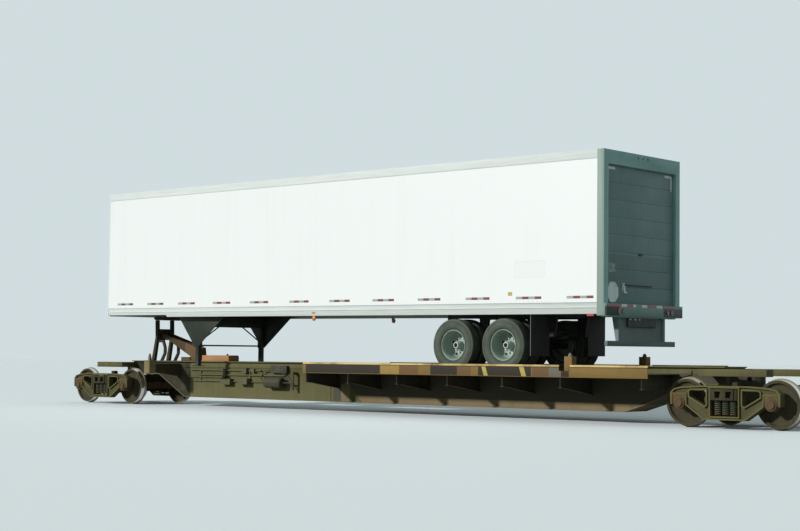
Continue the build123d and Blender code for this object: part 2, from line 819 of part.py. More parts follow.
def bottom_rail():
    """The near lower side rail, stepped up under the nose."""
    low = rail_bottom_z
    nose_low = low + nose_rail_lift
    outline = [(body_start_x, floor_top_z), (body_end_x, floor_top_z), (body_end_x, low),
               (nose_rail_end_x + 60, low), (nose_rail_end_x, nose_low), (body_start_x, nose_low)]
    rail = slab(outline, -trailer_half_width + rail_ledge, -trailer_half_width + rail_width)
    outer = -trailer_half_width
    for z in (low + bottom_rail_height / 2, floor_top_z - 14):
        rail = rail + block((body_start_x, body_end_x), (outer, outer + rail_ledge), (z, z + 14))
    return rail


def top_rail():
    """The near upper side rail, with its lower lip standing proud."""
    low = roof_z - top_rail_height
    rail = block((body_start_x, body_end_x), (-trailer_half_width + 4, -trailer_half_width + rail_width),
                 (low, roof_z))
    lip = block((body_start_x, body_end_x), (-trailer_half_width, -trailer_half_width + 4), (low, low + 40))
    return rail + lip


def front_wall():
    """The nose of the van with its rounded upright corners."""
    wall = block((trailer_front_x, body_start_x), (-trailer_half_width, trailer_half_width),
                 (rail_bottom_z + nose_rail_lift, roof_z))
    corners = wall.edges().filter_by(Axis.Z).sort_by(Axis.X)[0:2]
    return fillet(corners, nose_corner_radius)


def roof():
    """The roof sheet between the top rails."""
    eaves = roof_z - roof_camber
    return section([(-floor_half_width, eaves - roof_sheet), (0, roof_z - roof_sheet),
                    (floor_half_width, eaves - roof_sheet), (floor_half_width, eaves), (0, roof_z),
                    (-floor_half_width, eaves)], body_start_x, body_end_x)


def rear_frame():
    """The posts and header round the rear doorway, and its sill, which stands out as a bumper."""
    low = rail_bottom_z - corner_post_drop
    ring = block((body_end_x, trailer_rear_x), (-trailer_half_width, trailer_half_width), (low, roof_z))
    opening = block((body_end_x - 1, trailer_rear_x + 1), (-doorway_half_width, doorway_half_width),
                    (rail_bottom_z + rear_sill_rise, roof_z - header_height))
    sill = block((body_end_x, trailer_rear_x), (-doorway_half_width, doorway_half_width), (rear_sill_z, low))
    bumper = block((trailer_rear_x, trailer_rear_x + rear_sill_step), (-trailer_half_width, trailer_half_width),
                   (low, rail_bottom_z + rear_sill_rise))
    return ring - opening + sill + bumper


def rear_door():
    """The closed roll-up door with its jointed panels."""
    low = rail_bottom_z + rear_sill_rise
    high = roof_z - header_height
    face_x = trailer_rear_x - door_recess
    inside_x = face_x - door_thickness
    pitch = (high - low) / door_panels
    outline = [(inside_x, low), (face_x, low)]
    for seam in range(1, door_panels):
        z = low + seam * pitch
        outline += [(face_x, z - door_seam), (face_x - door_seam, z), (face_x, z + door_seam)]
    outline += [(face_x, high), (inside_x, high)]
    return slab(outline, -doorway_half_width, doorway_half_width)


def coupler():
    """The upper coupler plate with its kingpin and the frame above it."""
    end = trailer_front_x + coupler_length
    top = coupler_bottom_z + coupler_plate
    frame = block((body_start_x, end), (-floor_half_width, floor_half_width), (coupler_bottom_z, top))
    webs = [body_start_x + step * (end - body_start_x - 12) / 4 for step in range(5)]
    for x in webs:
        frame = frame + block((x, x + 12), (-floor_half_width, floor_half_width), (top, floor_under_z))
    for side in (-1, 1):
        frame = frame + block((body_start_x, end), (side * (floor_half_width - 12), side * floor_half_width),
                              (top, floor_under_z))
    pin = Cylinder(kingpin_radius, kingpin_length)
    return frame + Pos(kingpin_x, 0, coupler_bottom_z - kingpin_length / 2) * pin


def landing_gear():
    """Two telescopic legs with feet, wing plates, a cross beam with its braces, and the crank's shaft."""
    x = landing_gear_x
    half = landing_leg / 2
    gear = rod((x, -landing_gear_y, landing_shaft_z), (x, landing_gear_y, landing_shaft_z), 18)
    gear = gear + block((x - 30, x + 30), (-landing_gear_y, landing_gear_y), (landing_beam_z, under_z))
    wing = [(x - wing_before, under_z), (x + wing_after, under_z), (x + wing_after, under_z - 60),
            (x + half, wing_foot_z), (x - half, wing_foot_z), (x - wing_before, under_z - 60)]
    for side in (-1, 1):
        y = side * landing_gear_y
        gear = gear + block((x - half, x + half), (y - half, y + half), (landing_joint_z, under_z))
        gear = gear + block((x - half + 14, x + half - 14), (y - half + 14, y + half - 14),
                            (landing_foot_z + 12, landing_joint_z))
        gear = gear + block((x - 125, x + 125), (y - 110, y + 110), (landing_foot_z, landing_foot_z + 12))
        gear = gear + slab(wing, y + side * half, y + side * (half + wing_plate))
        gear = gear + rod((x, y, landing_brace_z), (x, side * landing_brace_y, landing_beam_z + 20), 16)
    return gear


def slider_frame():
    """The bogie's rails under the floor, with cross ties and spring hangers."""
    low = under_z - slider_depth
    start = tandem_x - slider_reach
    end = tandem_x + slider_reach
    inner = slider_rail_y - slider_rail_half_width
    outer = slider_rail_y + slider_rail_half_width
    frame = block((start, end), (-outer, outer), (low, under_z))
    frame = frame - block((start, end), (-inner, inner), (low, under_z))
    for x in (start + 60, tandem_x - 620, tandem_x + 620, end - 60):
        frame = frame + block((x - 40, x + 40), (-inner, inner), (low + 20, under_z - 20))
    frame = seated(frame)
    hanger_low = spring_seat_z + spring_eye_rise + seat_gap
    for x in (tandem_x - tandem_spacing, tandem_x, tandem_x + tandem_spacing):
        rail_low = seated_z(x, low) + 30
        outline = [(x - 120, rail_low), (x + 120, rail_low), (x + 70, hanger_low), (x - 70, hanger_low)]
        for side in (-1, 1):
            frame = frame + slab(outline, side * (slider_rail_y - 35), side * (slider_rail_y + 35))
    return frame


def trailer_axles():
    """Two axle beams with spindles, spring seats and brake chambers."""
    axles = []
    spindle_end = twin_y + 120
    beam_end = twin_y - 225
    for side in (-1, 1):
        x = tandem_x + side * tandem_spacing / 2
        # radius, place across
        half = [(trailer_axle_radius, beam_end), (spindle_radius, beam_end), (spindle_radius, spindle_end),
                (0, spindle_end)]
        beam = turned(half + [(radius, -place) for radius, place in reversed(half)], axle_sides)
        axle = Pos(x, 0, hub_z) * beam
        chamber = turned([(0, 75), (66, 75), (80, 20), (80, -75), (0, -75)], axle_sides)
        for across in (-1, 1):
            y = across * slider_rail_y
            axle = axle + block((x - 70, x + 70), (y - 40, y + 40), (hub_z, spring_seat_z))
            axle = axle + Pos(x + 175, across * 330, hub_z + 30) * chamber
            axle = axle + block((x, x + 175), (across * 300, across * 320), (hub_z - 40, hub_z + 60))
        axles.append(axle)
    return axles


def leaf_springs():
    """Short leaf stacks between the hangers, over each axle."""
    springs = []
    clamp = 80
    # half length, low place above the seat, thickness
    leaves = [(220, 0, 14), (400, 14, 14), (590, 28, 16)]
    longest, base, depth = leaves[-1]
    slope = (spring_eye_rise - base - depth) / (longest - clamp)
    for end in (-1, 1):
        x = tandem_x + end * tandem_spacing / 2
        for side in (-1, 1):
            stack = []
            for half_length, low, thickness in leaves:
                top = spring_seat_z + low + thickness
                tip = top + slope * (half_length - clamp)
                line = [(x - half_length, tip), (x - clamp, top), (x + clamp, top), (x + half_length, tip)]
                stack.append(slab(bent_bar(line, thickness), side * (slider_rail_y - 35),
                                  side * (slider_rail_y + 35)))
            springs.append(stack[0] + stack[1:])
    return springs


def twin_tyres():
    """The two tyres of the near twin wheels, about the hub's centre."""
    # radius, place across from the tyre's middle
    half = [(bead_radius, bead_half_width), (rim_flange_radius + 2, bead_half_width), (400, tyre_half_width),
            (480, 124), (tyre_radius, 86)]
    tyre = turned(half + [(radius, -place) for radius, place in reversed(half)], tyre_sides)
    return [Pos(0, offset * twin_spacing / 2, 0) * tyre for offset in (-1, 1)]


def twin_rims():
    """Two deep steel rims bolted back to back on the near hub, with its brake drum."""
    seat = bead_radius - rim_clearance
    middle = twin_spacing / 2
    flange = bead_half_width + rim_clearance
    # radius, place across from the middle of the pair, outwards from the joint of the two discs
    barrel = [
        (240, 8), (262, middle - flange - rim_flange), (rim_flange_radius, middle - flange - rim_flange),
        (rim_flange_radius, middle - flange), (seat, middle - flange), (seat, middle + flange),
        (rim_flange_radius, middle + flange), (rim_flange_radius, middle + flange + rim_flange),
        (288, middle + flange + rim_flange), (272, middle - flange), (222, 14)]
    hub = [(135, 14), (130, 60), (92, 80), (84, 198), (0, 198)]
    drum = [(drum_radius, 14), (drum_radius, drum_depth), (0, drum_depth)]
    outside = [(radius, -place) for radius, place in reversed(barrel + hub)]
    pair = turned(outside + barrel + drum, tyre_sides)
    bore_length = drum_depth + hub_bore_depth
    return pair - across_hole(0, (drum_depth - hub_bore_depth) / 2, 0, spindle_radius + rim_clearance,
                              bore_length)


def mud_flaps():
    """Flaps hung behind the twin wheels."""
    x = tandem_x + mud_flap_setback
    low = under_z - 60
    pieces = []
    for side in (-1, 1):
        root_y = side * (slider_rail_y + slider_rail_half_width)
        bar = block((x - 20, x + 20), (root_y, side * mud_flap_outer_y), (low, under_z))
        flap = block((x - 8, x), (side * mud_flap_inner_y, side * mud_flap_outer_y), (mud_flap_foot_z, low))
        pieces.append(bar + flap)
    return pieces


def rear_guard():
    """The impact guard under the rear sill, with the panel between its posts."""
    back = trailer_rear_x - 8
    guard = block((back - guard_depth, back), (-guard_half_width, guard_half_width),
                  (guard_bar_z, guard_bar_z + guard_bar_height))
    outline = [(back - guard_post_length, rear_sill_z), (back, rear_sill_z), (back, guard_bar_z + 50),
               (back - guard_depth + 10, guard_bar_z + 50)]
    panel_x = back - guard_panel_inset
    guard = guard + block((panel_x - guard_panel, panel_x), (-guard_post_y, guard_post_y),
                          (guard_bar_z + 50, rear_sill_z))
    for side in (-1, 1):
        guard = guard + slab(outline, side * (guard_post_y - guard_post_width / 2),
                             side * (guard_post_y + guard_post_width / 2))
    return guard


def lamps():
    """Marker and tail lamps."""
    amber_x = trailer_front_x + marker_lamp_setback
    marker = extrude(RegularPolygon(marker_lamp_radius, lamp_sides), -60)
    pieces = [Pos(amber_x, side * (trailer_half_width - 40), rail_bottom_z) * marker for side in (-1, 1)]
    red_x = trailer_rear_x - rear_marker_setback
    for side in (-1, 1):
        y = side * (trailer_half_width - rail_width / 2)
        pieces.append(block((red_x - rear_marker_length / 2, red_x + rear_marker_length / 2), (y - 14, y + 14),
                            (rail_bottom_z - 38, rail_bottom_z)))
    # radius, place along, place across, height
    rear = [(tail_lamp_radius, trailer_rear_x + rear_sill_step, y, rail_bottom_z + 60)
            for y in (-900, -760, 760, 900)]
    rear += [(header_lamp_radius, trailer_rear_x, y, roof_z - 70) for y in (-160, 0, 160)]
    for radius, x, y, z in rear:
        lens = extrude(RegularPolygon(radius, lamp_sides), radius / 3)
        pieces.append(Pos(x, y, z) * Rot(0, 90, 0) * lens)
    return pieces


def build_car():
    """The sub-parts fixed to the spine."""
    save("spine", [spine()])
    save("end_connectors", [end_connector(1), end_connector(-1)])
    # start and end of each arm from its truck's centre, along the car and outwards
    bearings = [body_side_bearing(-665, 665, 1), body_side_bearing(-500, 500, -1)]
    save("body_side_bearings", bearings + [far(piece) for piece in bearings])
    save("crossbearers", crossbearers() + [far(piece) for piece in crossbearers()])
    for side, place in (("near", lambda piece: piece), ("far", far)):
        save(f"platform_{side}", [place(platform())])
        save(f"pedestal_{side}", [place(pedestal())])
    save("end_pedestals", both_sides(end_pedestal()))
    save("hitch_head", [seated(hitch_head())])
    save("hitch_legs", [hitch_legs()])
    save("hitch_strut", [hitch_strut()])
    save("hitch_base", [hitch_base()])
    save("air_reservoirs", air_reservoirs())
    save("brake_pipes", brake_pipes())
    save("brake_gear", brake_gear())


def build_trailer():
    """The sub-parts of the trailer, seated on the hitch and the deck."""
    save("trailer_floor", [seated(trailer_floor())])
    save("trailer_crossmembers", [seated(piece) for piece in crossmembers()])
    save("trailer_side_near", [seated(side_wall())])
    save("trailer_side_far", [seated(far(side_wall()))])
    save("trailer_bottom_rails", [seated(piece) for piece in both_sides(bottom_rail())])
    save("trailer_top_rails", [seated(piece) for piece in both_sides(top_rail())])
    save("trailer_front_wall", [seated(front_wall())])
    save("trailer_roof", [seated(roof())])
    save("trailer_rear_frame", [seated(rear_frame())])
    save("trailer_rear_door", [seated(rear_door())])
    save("trailer_coupler", [seated(coupler())])
    save("landing_gear", [seated(landing_gear())])
    save("slider_frame", [slider_frame()])
    save("trailer_axles", trailer_axles())
    save("leaf_springs", leaf_springs())
    save("mud_flaps", [seated(piece) for piece in mud_flaps()])
    save("rear_guard", [seated(rear_guard())])
    save("lamps", [seated(piece) for piece in lamps()])
    for number, end in ((1, -1), (2, 1)):
        for side, flip in (("near", False), ("far", True)):
            place = Pos(tandem_x + end * tandem_spacing / 2, -twin_y, hub_z)
            tyres = [place * piece for piece in twin_tyres()]
            rims = place * twin_rims()
            save(f"tyres_{number}_{side}", [far(piece) for piece in tyres] if flip else tyres)
            save(f"rims_{number}_{side}", [far(rims) if flip else rims])


build_truck("a", -1)
build_truck("b", 1)
build_car()
build_trailer()
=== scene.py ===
from math import atan2, cos, hypot, radians, sin

import bpy
from mathutils import Matrix, Vector
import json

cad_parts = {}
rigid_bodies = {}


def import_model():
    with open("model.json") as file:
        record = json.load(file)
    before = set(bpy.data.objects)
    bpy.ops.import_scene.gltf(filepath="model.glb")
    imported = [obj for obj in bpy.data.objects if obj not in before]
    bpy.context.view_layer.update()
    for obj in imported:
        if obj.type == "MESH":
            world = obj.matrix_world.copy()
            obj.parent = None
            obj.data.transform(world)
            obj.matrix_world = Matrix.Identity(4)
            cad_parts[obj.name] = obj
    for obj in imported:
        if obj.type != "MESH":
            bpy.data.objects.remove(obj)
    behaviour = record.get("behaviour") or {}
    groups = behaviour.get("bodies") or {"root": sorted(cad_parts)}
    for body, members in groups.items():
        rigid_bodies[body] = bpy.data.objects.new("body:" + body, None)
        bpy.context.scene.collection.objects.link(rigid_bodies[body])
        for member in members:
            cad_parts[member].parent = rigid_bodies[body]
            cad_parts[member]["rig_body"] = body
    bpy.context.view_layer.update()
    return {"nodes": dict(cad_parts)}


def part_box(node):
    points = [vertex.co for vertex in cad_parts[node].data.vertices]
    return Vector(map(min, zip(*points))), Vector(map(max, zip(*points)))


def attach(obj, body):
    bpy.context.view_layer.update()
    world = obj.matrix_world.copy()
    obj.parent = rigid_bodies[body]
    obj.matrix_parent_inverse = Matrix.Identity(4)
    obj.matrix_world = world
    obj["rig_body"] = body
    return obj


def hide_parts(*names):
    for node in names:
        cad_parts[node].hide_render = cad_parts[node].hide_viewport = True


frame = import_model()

nodes = frame["nodes"]


# The camera stands low beside the track, near the rear truck, and looks along the car at a shallow slant.
# It is level but for a slight upward tilt, and sees the trailer's side and its rear doors together.
camera_place = Vector((22.069, -24.235, 1.248))
camera_heading = radians(-41.956)
camera_pitch = radians(3.366)
camera_roll = radians(0.342)
focal_pixels = 1518.457
picture_width = 800

camera_data = bpy.data.cameras.new("camera")
camera_data.sensor_width = 36.0
camera_data.lens = focal_pixels * camera_data.sensor_width / picture_width
camera_data.clip_end = 500.0
camera = bpy.data.objects.new("camera", camera_data)
bpy.context.scene.collection.objects.link(camera)
ahead = Vector((sin(camera_heading) * cos(camera_pitch), cos(camera_heading) * cos(camera_pitch),
                sin(camera_pitch)))
level_right = ahead.cross(Vector((0, 0, 1))).normalized()
level_up = level_right.cross(ahead)
right = level_right * cos(camera_roll) + level_up * sin(camera_roll)
up = level_up * cos(camera_roll) - level_right * sin(camera_roll)
turn = Matrix((right, up, -ahead)).transposed()
camera.matrix_world = Matrix.Translation(camera_place) @ turn.to_4x4()
bpy.context.scene.camera = camera


# The stage is a wide pale floor that runs into an even pale sky, with one key light and soft light all
# round. The key light comes low from the side that is shown and from the trailer's nose, so the rear doors
# lie in shade.
sky_colour = (0.635, 0.722, 0.742)
sky_share = 0.45
key_strength = 3.0
key_softness = radians(4)
key_from = Vector((-0.42, -0.86, 0.42))
floor_seen = (0.92, 0.98, 0.98)
floor_bounce = (0.24, 0.24, 0.21)
floor_width = 400


def linked_math(tree, operation, *values, clamp=False):
    """One operation on sockets or numbers."""
    node = tree.nodes.new("ShaderNodeMath")
    node.operation = operation
    node.use_clamp = clamp
    for socket, value in zip(node.inputs, values):
        if isinstance(value, float):
            socket.default_value = value
        else:
            tree.links.new(value, socket)
    return node.outputs[0]


def seen_directly(tree):
    """1 on rays that show the stage straight, in gloss or through glass, and 0 on light for the object."""
    path = tree.nodes.new("ShaderNodeLightPath")
    total = path.outputs["Is Camera Ray"]
    for way in ("Is Glossy Ray", "Is Transmission Ray"):
        total = linked_math(tree, "ADD", total, path.outputs[way], clamp=True)
    return total


bpy.context.scene.view_settings.view_transform = "Standard"
world = bpy.data.worlds.new("studio")
bpy.context.scene.world = world
world.use_nodes = True
background = world.node_tree.nodes["Background"]
background.inputs["Color"].default_value = (*sky_colour, 1.0)
pale = world.node_tree.nodes.new("ShaderNodeMapRange")
pale.inputs["To Min"].default_value = sky_share
pale.inputs["To Max"].default_value = 1.0
world.node_tree.links.new(seen_directly(world.node_tree), pale.inputs["Value"])
world.node_tree.links.new(pale.outputs["Result"], background.inputs["Strength"])

key_data = bpy.data.lights.new("key", "SUN")
key_data.energy = key_strength
key_data.angle = key_softness
key = bpy.data.objects.new("key", key_data)
key.rotation_mode = "QUATERNION"
key.rotation_quaternion = key_from.to_track_quat("Z", "Y")
bpy.context.scene.collection.objects.link(key)

bpy.ops.mesh.primitive_plane_add(size=floor_width)
floor = bpy.context.object
floor.name = "studio_floor"
floor_material = bpy.data.materials.new("pale_floor")
floor_material.use_nodes = True
floor_shader = floor_material.node_tree.nodes["Principled BSDF"]
floor_tone = floor_material.node_tree.nodes.new("ShaderNodeMix")
floor_tone.data_type = "RGBA"
floor_tone.inputs[6].default_value = (*floor_bounce, 1.0)
floor_tone.inputs[7].default_value = (*floor_seen, 1.0)
floor_material.node_tree.links.new(seen_directly(floor_material.node_tree), floor_tone.inputs["Factor"])
floor_material.node_tree.links.new(floor_tone.outputs[2], floor_shader.inputs["Base Color"])
floor_shader.inputs["Roughness"].default_value = 0.9
floor_shader.inputs["Specular IOR Level"].default_value = 0.1
floor.data.materials.append(floor_material)


# The wheelsets are steel, dark with brake dust, with a dusty edge round the rim's face. The rails keep the
# treads bright. Each wheel is one casting: hub, dished plate, and a thick flanged rim.
wheel_back = 0.678
axle_seat = 0.0921
edge_radius = 0.402
tread_radius = 0.405
old_rust = (0.100, 0.055, 0.028)

# Paint on the whole car and trailer is years old: dust settles on it, rain draws it down in streaks, and
# rust breaks through. Every painted finish is mixed in this one way, from its own colours.
dusty_gloss = 0.18
speckle_share = 0.28
speckle_tone = 0.62
lying_tone = 1.35


def mixed(material, factor, under, over):
    """A colour that goes from one to another by a factor."""
    mix = material.node_tree.nodes.new("ShaderNodeMix")
    mix.data_type = "RGBA"
    for socket, value in ((mix.inputs["Factor"], factor), (mix.inputs[6], under), (mix.inputs[7], over)):
        if isinstance(value, bpy.types.NodeSocket):
            material.node_tree.links.new(value, socket)
        elif isinstance(value, float):
            socket.default_value = value
        else:
            socket.default_value = (*value, 1.0)
    return mix.outputs[2]


def spread(tree, socket, low, high):
    """A value whose stretch from low to high runs from 0 to 1."""
    node = tree.nodes.new("ShaderNodeMapRange")
    node.inputs["From Min"].default_value = low
    node.inputs["From Max"].default_value = high
    tree.links.new(socket, node.inputs["Value"])
    return node.outputs["Result"]


def grain(material, scale, stretch=(1.0, 1.0, 1.0), low=0.0, high=1.0, detail=6.0, rough=0.6):
    """Noise at a scale per metre, stretched along an axis, whose values from low to high run from 0 to 1."""
    tree = material.node_tree
    place = tree.nodes.new("ShaderNodeTexCoord")
    mapping = tree.nodes.new("ShaderNodeMapping")
    mapping.inputs["Scale"].default_value = stretch
    noise = tree.nodes.new("ShaderNodeTexNoise")
    noise.inputs["Scale"].default_value = scale
    noise.inputs["Detail"].default_value = detail
    noise.inputs["Roughness"].default_value = rough
    tree.links.new(place.outputs["Object"], mapping.inputs["Vector"])
    tree.links.new(mapping.outputs["Vector"], noise.inputs["Vector"])
    return spread(tree, noise.outputs["Fac"], low, high)


def shader_of(material):
    """The shader of a finish."""
    return material.node_tree.nodes["Principled BSDF"]


def bare_material(name, roughness, metallic=0.0):
    """A material with its uniform roughness and metal set on its shader."""
    material = bpy.data.materials.new(name)
    material.use_nodes = True
    shader_of(material).inputs["Roughness"].default_value = roughness
    shader_of(material).inputs["Metallic"].default_value = metallic
    return material


def roughened(material, height, scale=60.0, stretch=(1.0, 1.0, 1.0), distance=0.004):
    """A fine unevenness of the surface."""
    bump = material.node_tree.nodes.new("ShaderNodeBump")
    bump.inputs["Strength"].default_value = height
    bump.inputs["Distance"].default_value = distance
    material.node_tree.links.new(grain(material, scale, stretch), bump.inputs["Height"])
    material.node_tree.links.new(bump.outputs["Normal"], shader_of(material).inputs["Normal"])


def band(material, axis, start, end, lean=0.0):
    """1 where Object X, Y or Z lies between two places, which may lean with Object Z, and 0 elsewhere."""
    tree = material.node_tree
    place = tree.nodes.new("ShaderNodeTexCoord")
    split = tree.nodes.new("ShaderNodeSeparateXYZ")
    tree.links.new(place.outputs["Object"], split.inputs["Vector"])
    leaned = linked_math(tree, "MULTIPLY", split.outputs["Z"], lean)
    leaned = linked_math(tree, "ADD", leaned, split.outputs[axis])
    return linked_math(tree, "COMPARE", leaned, (start + end) / 2, abs(end - start) / 2)


def outside(material, axis, start, end):
    """1 where Object X, Y or Z lies beyond two places, and 0 between them."""
    return linked_math(material.node_tree, "SUBTRACT", 1.0, band(material, axis, start, end))


def together(material, first, *others):
    """The product of masks and amounts."""
    for other in others:
        first = linked_math(material.node_tree, "MULTIPLY", first, other)
    return first


def coloured(material, colour):
    """The shader takes its colour from the end of a chain of mixes."""
    material.node_tree.links.new(colour, shader_of(material).inputs["Base Color"])


def coated(material, colour, amount, *masks):
    """A coat where all its masks meet. A mask is a socket, or an axis and two places along it."""
    masks = [band(material, *mask) if isinstance(mask, tuple) else mask for mask in masks]
    under = shader_of(material).inputs["Base Color"].links[0].from_socket
    coloured(material, mixed(material, together(material, *masks, amount), under, colour))


def weathered(name, paint, dust, dusty=0.5, rusty=0.3, roughness=0.7, metallic=0.0, lying=0.5, rust=old_rust):
    """Old paint with clouds and streaks of dust, patches of rust, and more dust where it faces up."""
    material = bare_material(name, roughness, metallic)
    shader_of(material).inputs["Specular IOR Level"].default_value = dusty_gloss
    clouds = grain(material, 1.6, low=0.62 - 0.5 * dusty, high=0.78)
    streaks = grain(material, 3.0, (3.0, 3.0, 0.25), low=0.66 - 0.4 * dusty, high=0.80)
    spots = grain(material, 5.0, low=0.72 - 0.35 * rusty, high=0.80, detail=10.0, rough=0.72)
    speckle = together(material, grain(material, 90.0, low=0.35, high=0.9), speckle_share)
    darker = tuple(speckle_tone * part for part in dust)
    colour = paint
    for mask, coat in ((clouds, dust), (streaks, dust), (spots, rust), (speckle, darker)):
        colour = mixed(material, mask, colour, coat)
    coloured(material, colour)
    if lying:
        tree = material.node_tree
        surface = tree.nodes.new("ShaderNodeNewGeometry")
        split = tree.nodes.new("ShaderNodeSeparateXYZ")
        tree.links.new(surface.outputs["Normal"], split.inputs["Vector"])
        level = spread(tree, split.outputs["Z"], 0.3, 0.95)
        lighter = tuple(lying_tone * part for part in dust)
        coated(material, lighter, lying, level, grain(material, 8.0, low=0.15, high=0.6))
    roughened(material, 0.35)
    return material


def two_toned(name, roughness, tones, clouding, surface=None, metallic=0.0):
    """A finish that wanders between two tones by one noise, with its surface uneven by another."""
    material = bare_material(name, roughness, metallic)
    coloured(material, mixed(material, grain(material, *clouding), *tones))
    if surface:
        roughened(material, *surface)
    return material


# Every piece that replaces a node of the part takes its body from the frame. A primitive that
# stands on the floor is laid across the car by one turn.
across = (radians(90), 0, 0)


def middle_of(node):
    """The middle of a CAD node's box."""
    low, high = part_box(node)
    return (low + high) / 2


def painted(piece, *materials):
    """The piece has these finishes alone."""
    piece.data.materials.clear()
    for material in materials:
        piece.data.materials.append(material)


def stand_for(piece, node):
    """The piece takes a CAD node's place and body."""
    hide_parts(node)
    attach(piece, nodes[node]["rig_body"])


def started(primitive, **sizes):
    """A primitive, the only thing selected, with its place and turn in its mesh."""
    bpy.ops.object.select_all(action="DESELECT")
    primitive(**sizes)
    bpy.ops.object.transform_apply(location=True, rotation=True, scale=True)
    return bpy.context.object


def lathe(rings, centre, sides, smooth=30, out=0.0):
    """A body turned across the car: a circle is extruded and scaled through rings of radius and place."""
    radius, place = rings[0]
    piece = started(bpy.ops.mesh.primitive_circle_add, vertices=sides, radius=radius,
                    location=(0, 0, out + place))
    bpy.ops.object.mode_set(mode="EDIT")
    bpy.ops.mesh.select_all(action="SELECT")
    for next_radius, next_place in rings[1:]:
        bpy.ops.mesh.extrude_region_move(TRANSFORM_OT_translate={"value": (0, 0, next_place - place)})
        ratio = next_radius / radius
        bpy.ops.transform.resize(value=(ratio, ratio, 1))
        radius, place = next_radius, next_place
    bpy.ops.mesh.select_all(action="SELECT")
    bpy.ops.mesh.remove_doubles(threshold=0.00005)
    bpy.ops.mesh.normals_make_consistent(inside=False)
    bpy.ops.object.mode_set(mode="OBJECT")
    piece.rotation_euler = across
    piece.location = centre
    bpy.ops.object.transform_apply(location=True, rotation=True, scale=True)
    bpy.ops.object.shade_smooth_by_angle(angle=radians(smooth))
    return piece


def copied(piece, move=(0, 0, 0)):
    """A copy with its own mesh, moved."""
    copy = piece.copy()
    copy.data = piece.data.copy()
    bpy.context.scene.collection.objects.link(copy)
    copy.data.transform(Matrix.Translation(Vector(move)))
    return copy


def reflected(piece):
    """The piece is reflected in the middle plane of the car."""
    piece.data.transform(Matrix.Diagonal((1, -1, 1, 1)))
    piece.data.flip_normals()
    return piece


def joined(pieces, name):
    """Several meshes made one piece."""
    bpy.ops.object.select_all(action="DESELECT")
    for piece in pieces:
        piece.select_set(True)
    bpy.context.view_layer.objects.active = pieces[0]
    if len(pieces) > 1:
        bpy.ops.object.join()
    pieces[0].name = name
    return pieces[0]


wheel_plate = weathered("wheel_plate", (0.042, 0.037, 0.022), (0.090, 0.079, 0.042), 0.45, 0.28, 0.8,
                        lying=0)
wheel_edge = weathered("wheel_edge", (0.250, 0.220, 0.125), (0.31, 0.275, 0.155), 0.5, 0.35, 0.5, lying=0,
                       rust=(0.18, 0.105, 0.05))
tread_steel = two_toned("bright_tread", 0.22, ((0.82, 0.81, 0.78), (0.62, 0.60, 0.56)),
                        (14.0, (1, 6, 1), 0.3, 0.8), (0.10, 120.0), 1.0)
# radius, place across from the back of the rim
wheel_rings = [
    (axle_seat, -0.006), (0.130, -0.006), (0.138, -0.001), (0.146, 0.020), (0.190, 0.046), (0.262, 0.062),
    (0.322, 0.056), (0.352, 0.040), (0.362, 0.010), (0.368, 0.0), (0.418, 0.0), (0.437, 0.004),
    (0.4435, 0.012), (0.4435, 0.021), (0.438, 0.030), (0.428, 0.038), (0.4215, 0.048), (0.4195, 0.062),
    (0.4150, 0.138), (0.411, 0.144), (0.366, 0.145), (0.359, 0.139), (0.350, 0.108), (0.322, 0.092),
    (0.262, 0.094), (0.190, 0.098), (0.150, 0.118), (0.138, 0.162), (0.130, 0.170), (axle_seat, 0.170)]
for truck in "ab":
    for number in "12":
        middle = middle_of(f"wheels_{truck}{number}")
        near = lathe(wheel_rings, (middle.x, 0, middle.z), 80, out=wheel_back)
        wheels = joined([near, reflected(copied(near))], f"rolled_wheels_{truck}{number}")
        painted(wheels, wheel_plate, tread_steel, wheel_edge)
        for face in wheels.data.polygons:
            reach = hypot(face.center.x - middle.x, face.center.z - middle.z)
            if reach > tread_radius and abs(face.normal.y) < 0.35:
                face.material_index = 1
            elif reach > edge_radius:
                face.material_index = 2
        stand_for(wheels, f"wheels_{truck}{number}")


# Each axle turns in two sealed roller bearings. A cap on the axle's end holds each bearing with three bolts
# under a locking plate, and grease collects dust there.
bearing_brown = (0.130, 0.074, 0.032)
axle_steel = weathered("axle_steel", (0.085, 0.058, 0.030), (0.120, 0.082, 0.042), 0.5, 0.6, 0.75, lying=0,
                       rust=bearing_brown)
journal = 1.003
# radius, place across from the middle of the bearing
bearing_rings = [
    (0.0921, -0.125), (0.101, -0.125), (0.103, -0.088), (0.112, -0.083), (0.1149, -0.072), (0.1149, 0.070),
    (0.111, 0.080), (0.099, 0.085), (0.097, 0.089), (0.082, 0.091), (0.079, 0.104), (0.074, 0.112),
    (0.052, 0.1135), (0.050, 0.109), (0.0005, 0.109)]
bolt_circle = 0.060
bolt_out = journal + 0.110
shaft_rings = [(0.0915, journal - 0.12), (0.0915, wheel_back - 0.02), (0.085, wheel_back - 0.04),
               (0.0835, 0.0)]


def around(middle, radius, degrees, out):
    """A place on the near side, turned round a wheel's middle."""
    return (middle.x + radius * cos(radians(degrees)), -out, middle.z + radius * sin(radians(degrees)))


for truck in "ab":
    for number in "12":
        middle = middle_of(f"axle_{truck}{number}")
        centre = (middle.x, 0, middle.z)
        near = [lathe(bearing_rings, centre, 48, out=journal), lathe(shaft_rings, centre, 40)]
        for degrees in (90, 210, 330):
            near.append(started(bpy.ops.mesh.primitive_cylinder_add, vertices=6, radius=0.017, depth=0.012,
                                rotation=across, location=around(middle, bolt_circle, degrees, bolt_out)))
        half = joined(near, "axle_half")
        axle = joined([half, reflected(copied(half))], f"bearing_axle_{truck}{number}")
        painted(axle, axle_steel)
        stand_for(axle, f"axle_{truck}{number}")
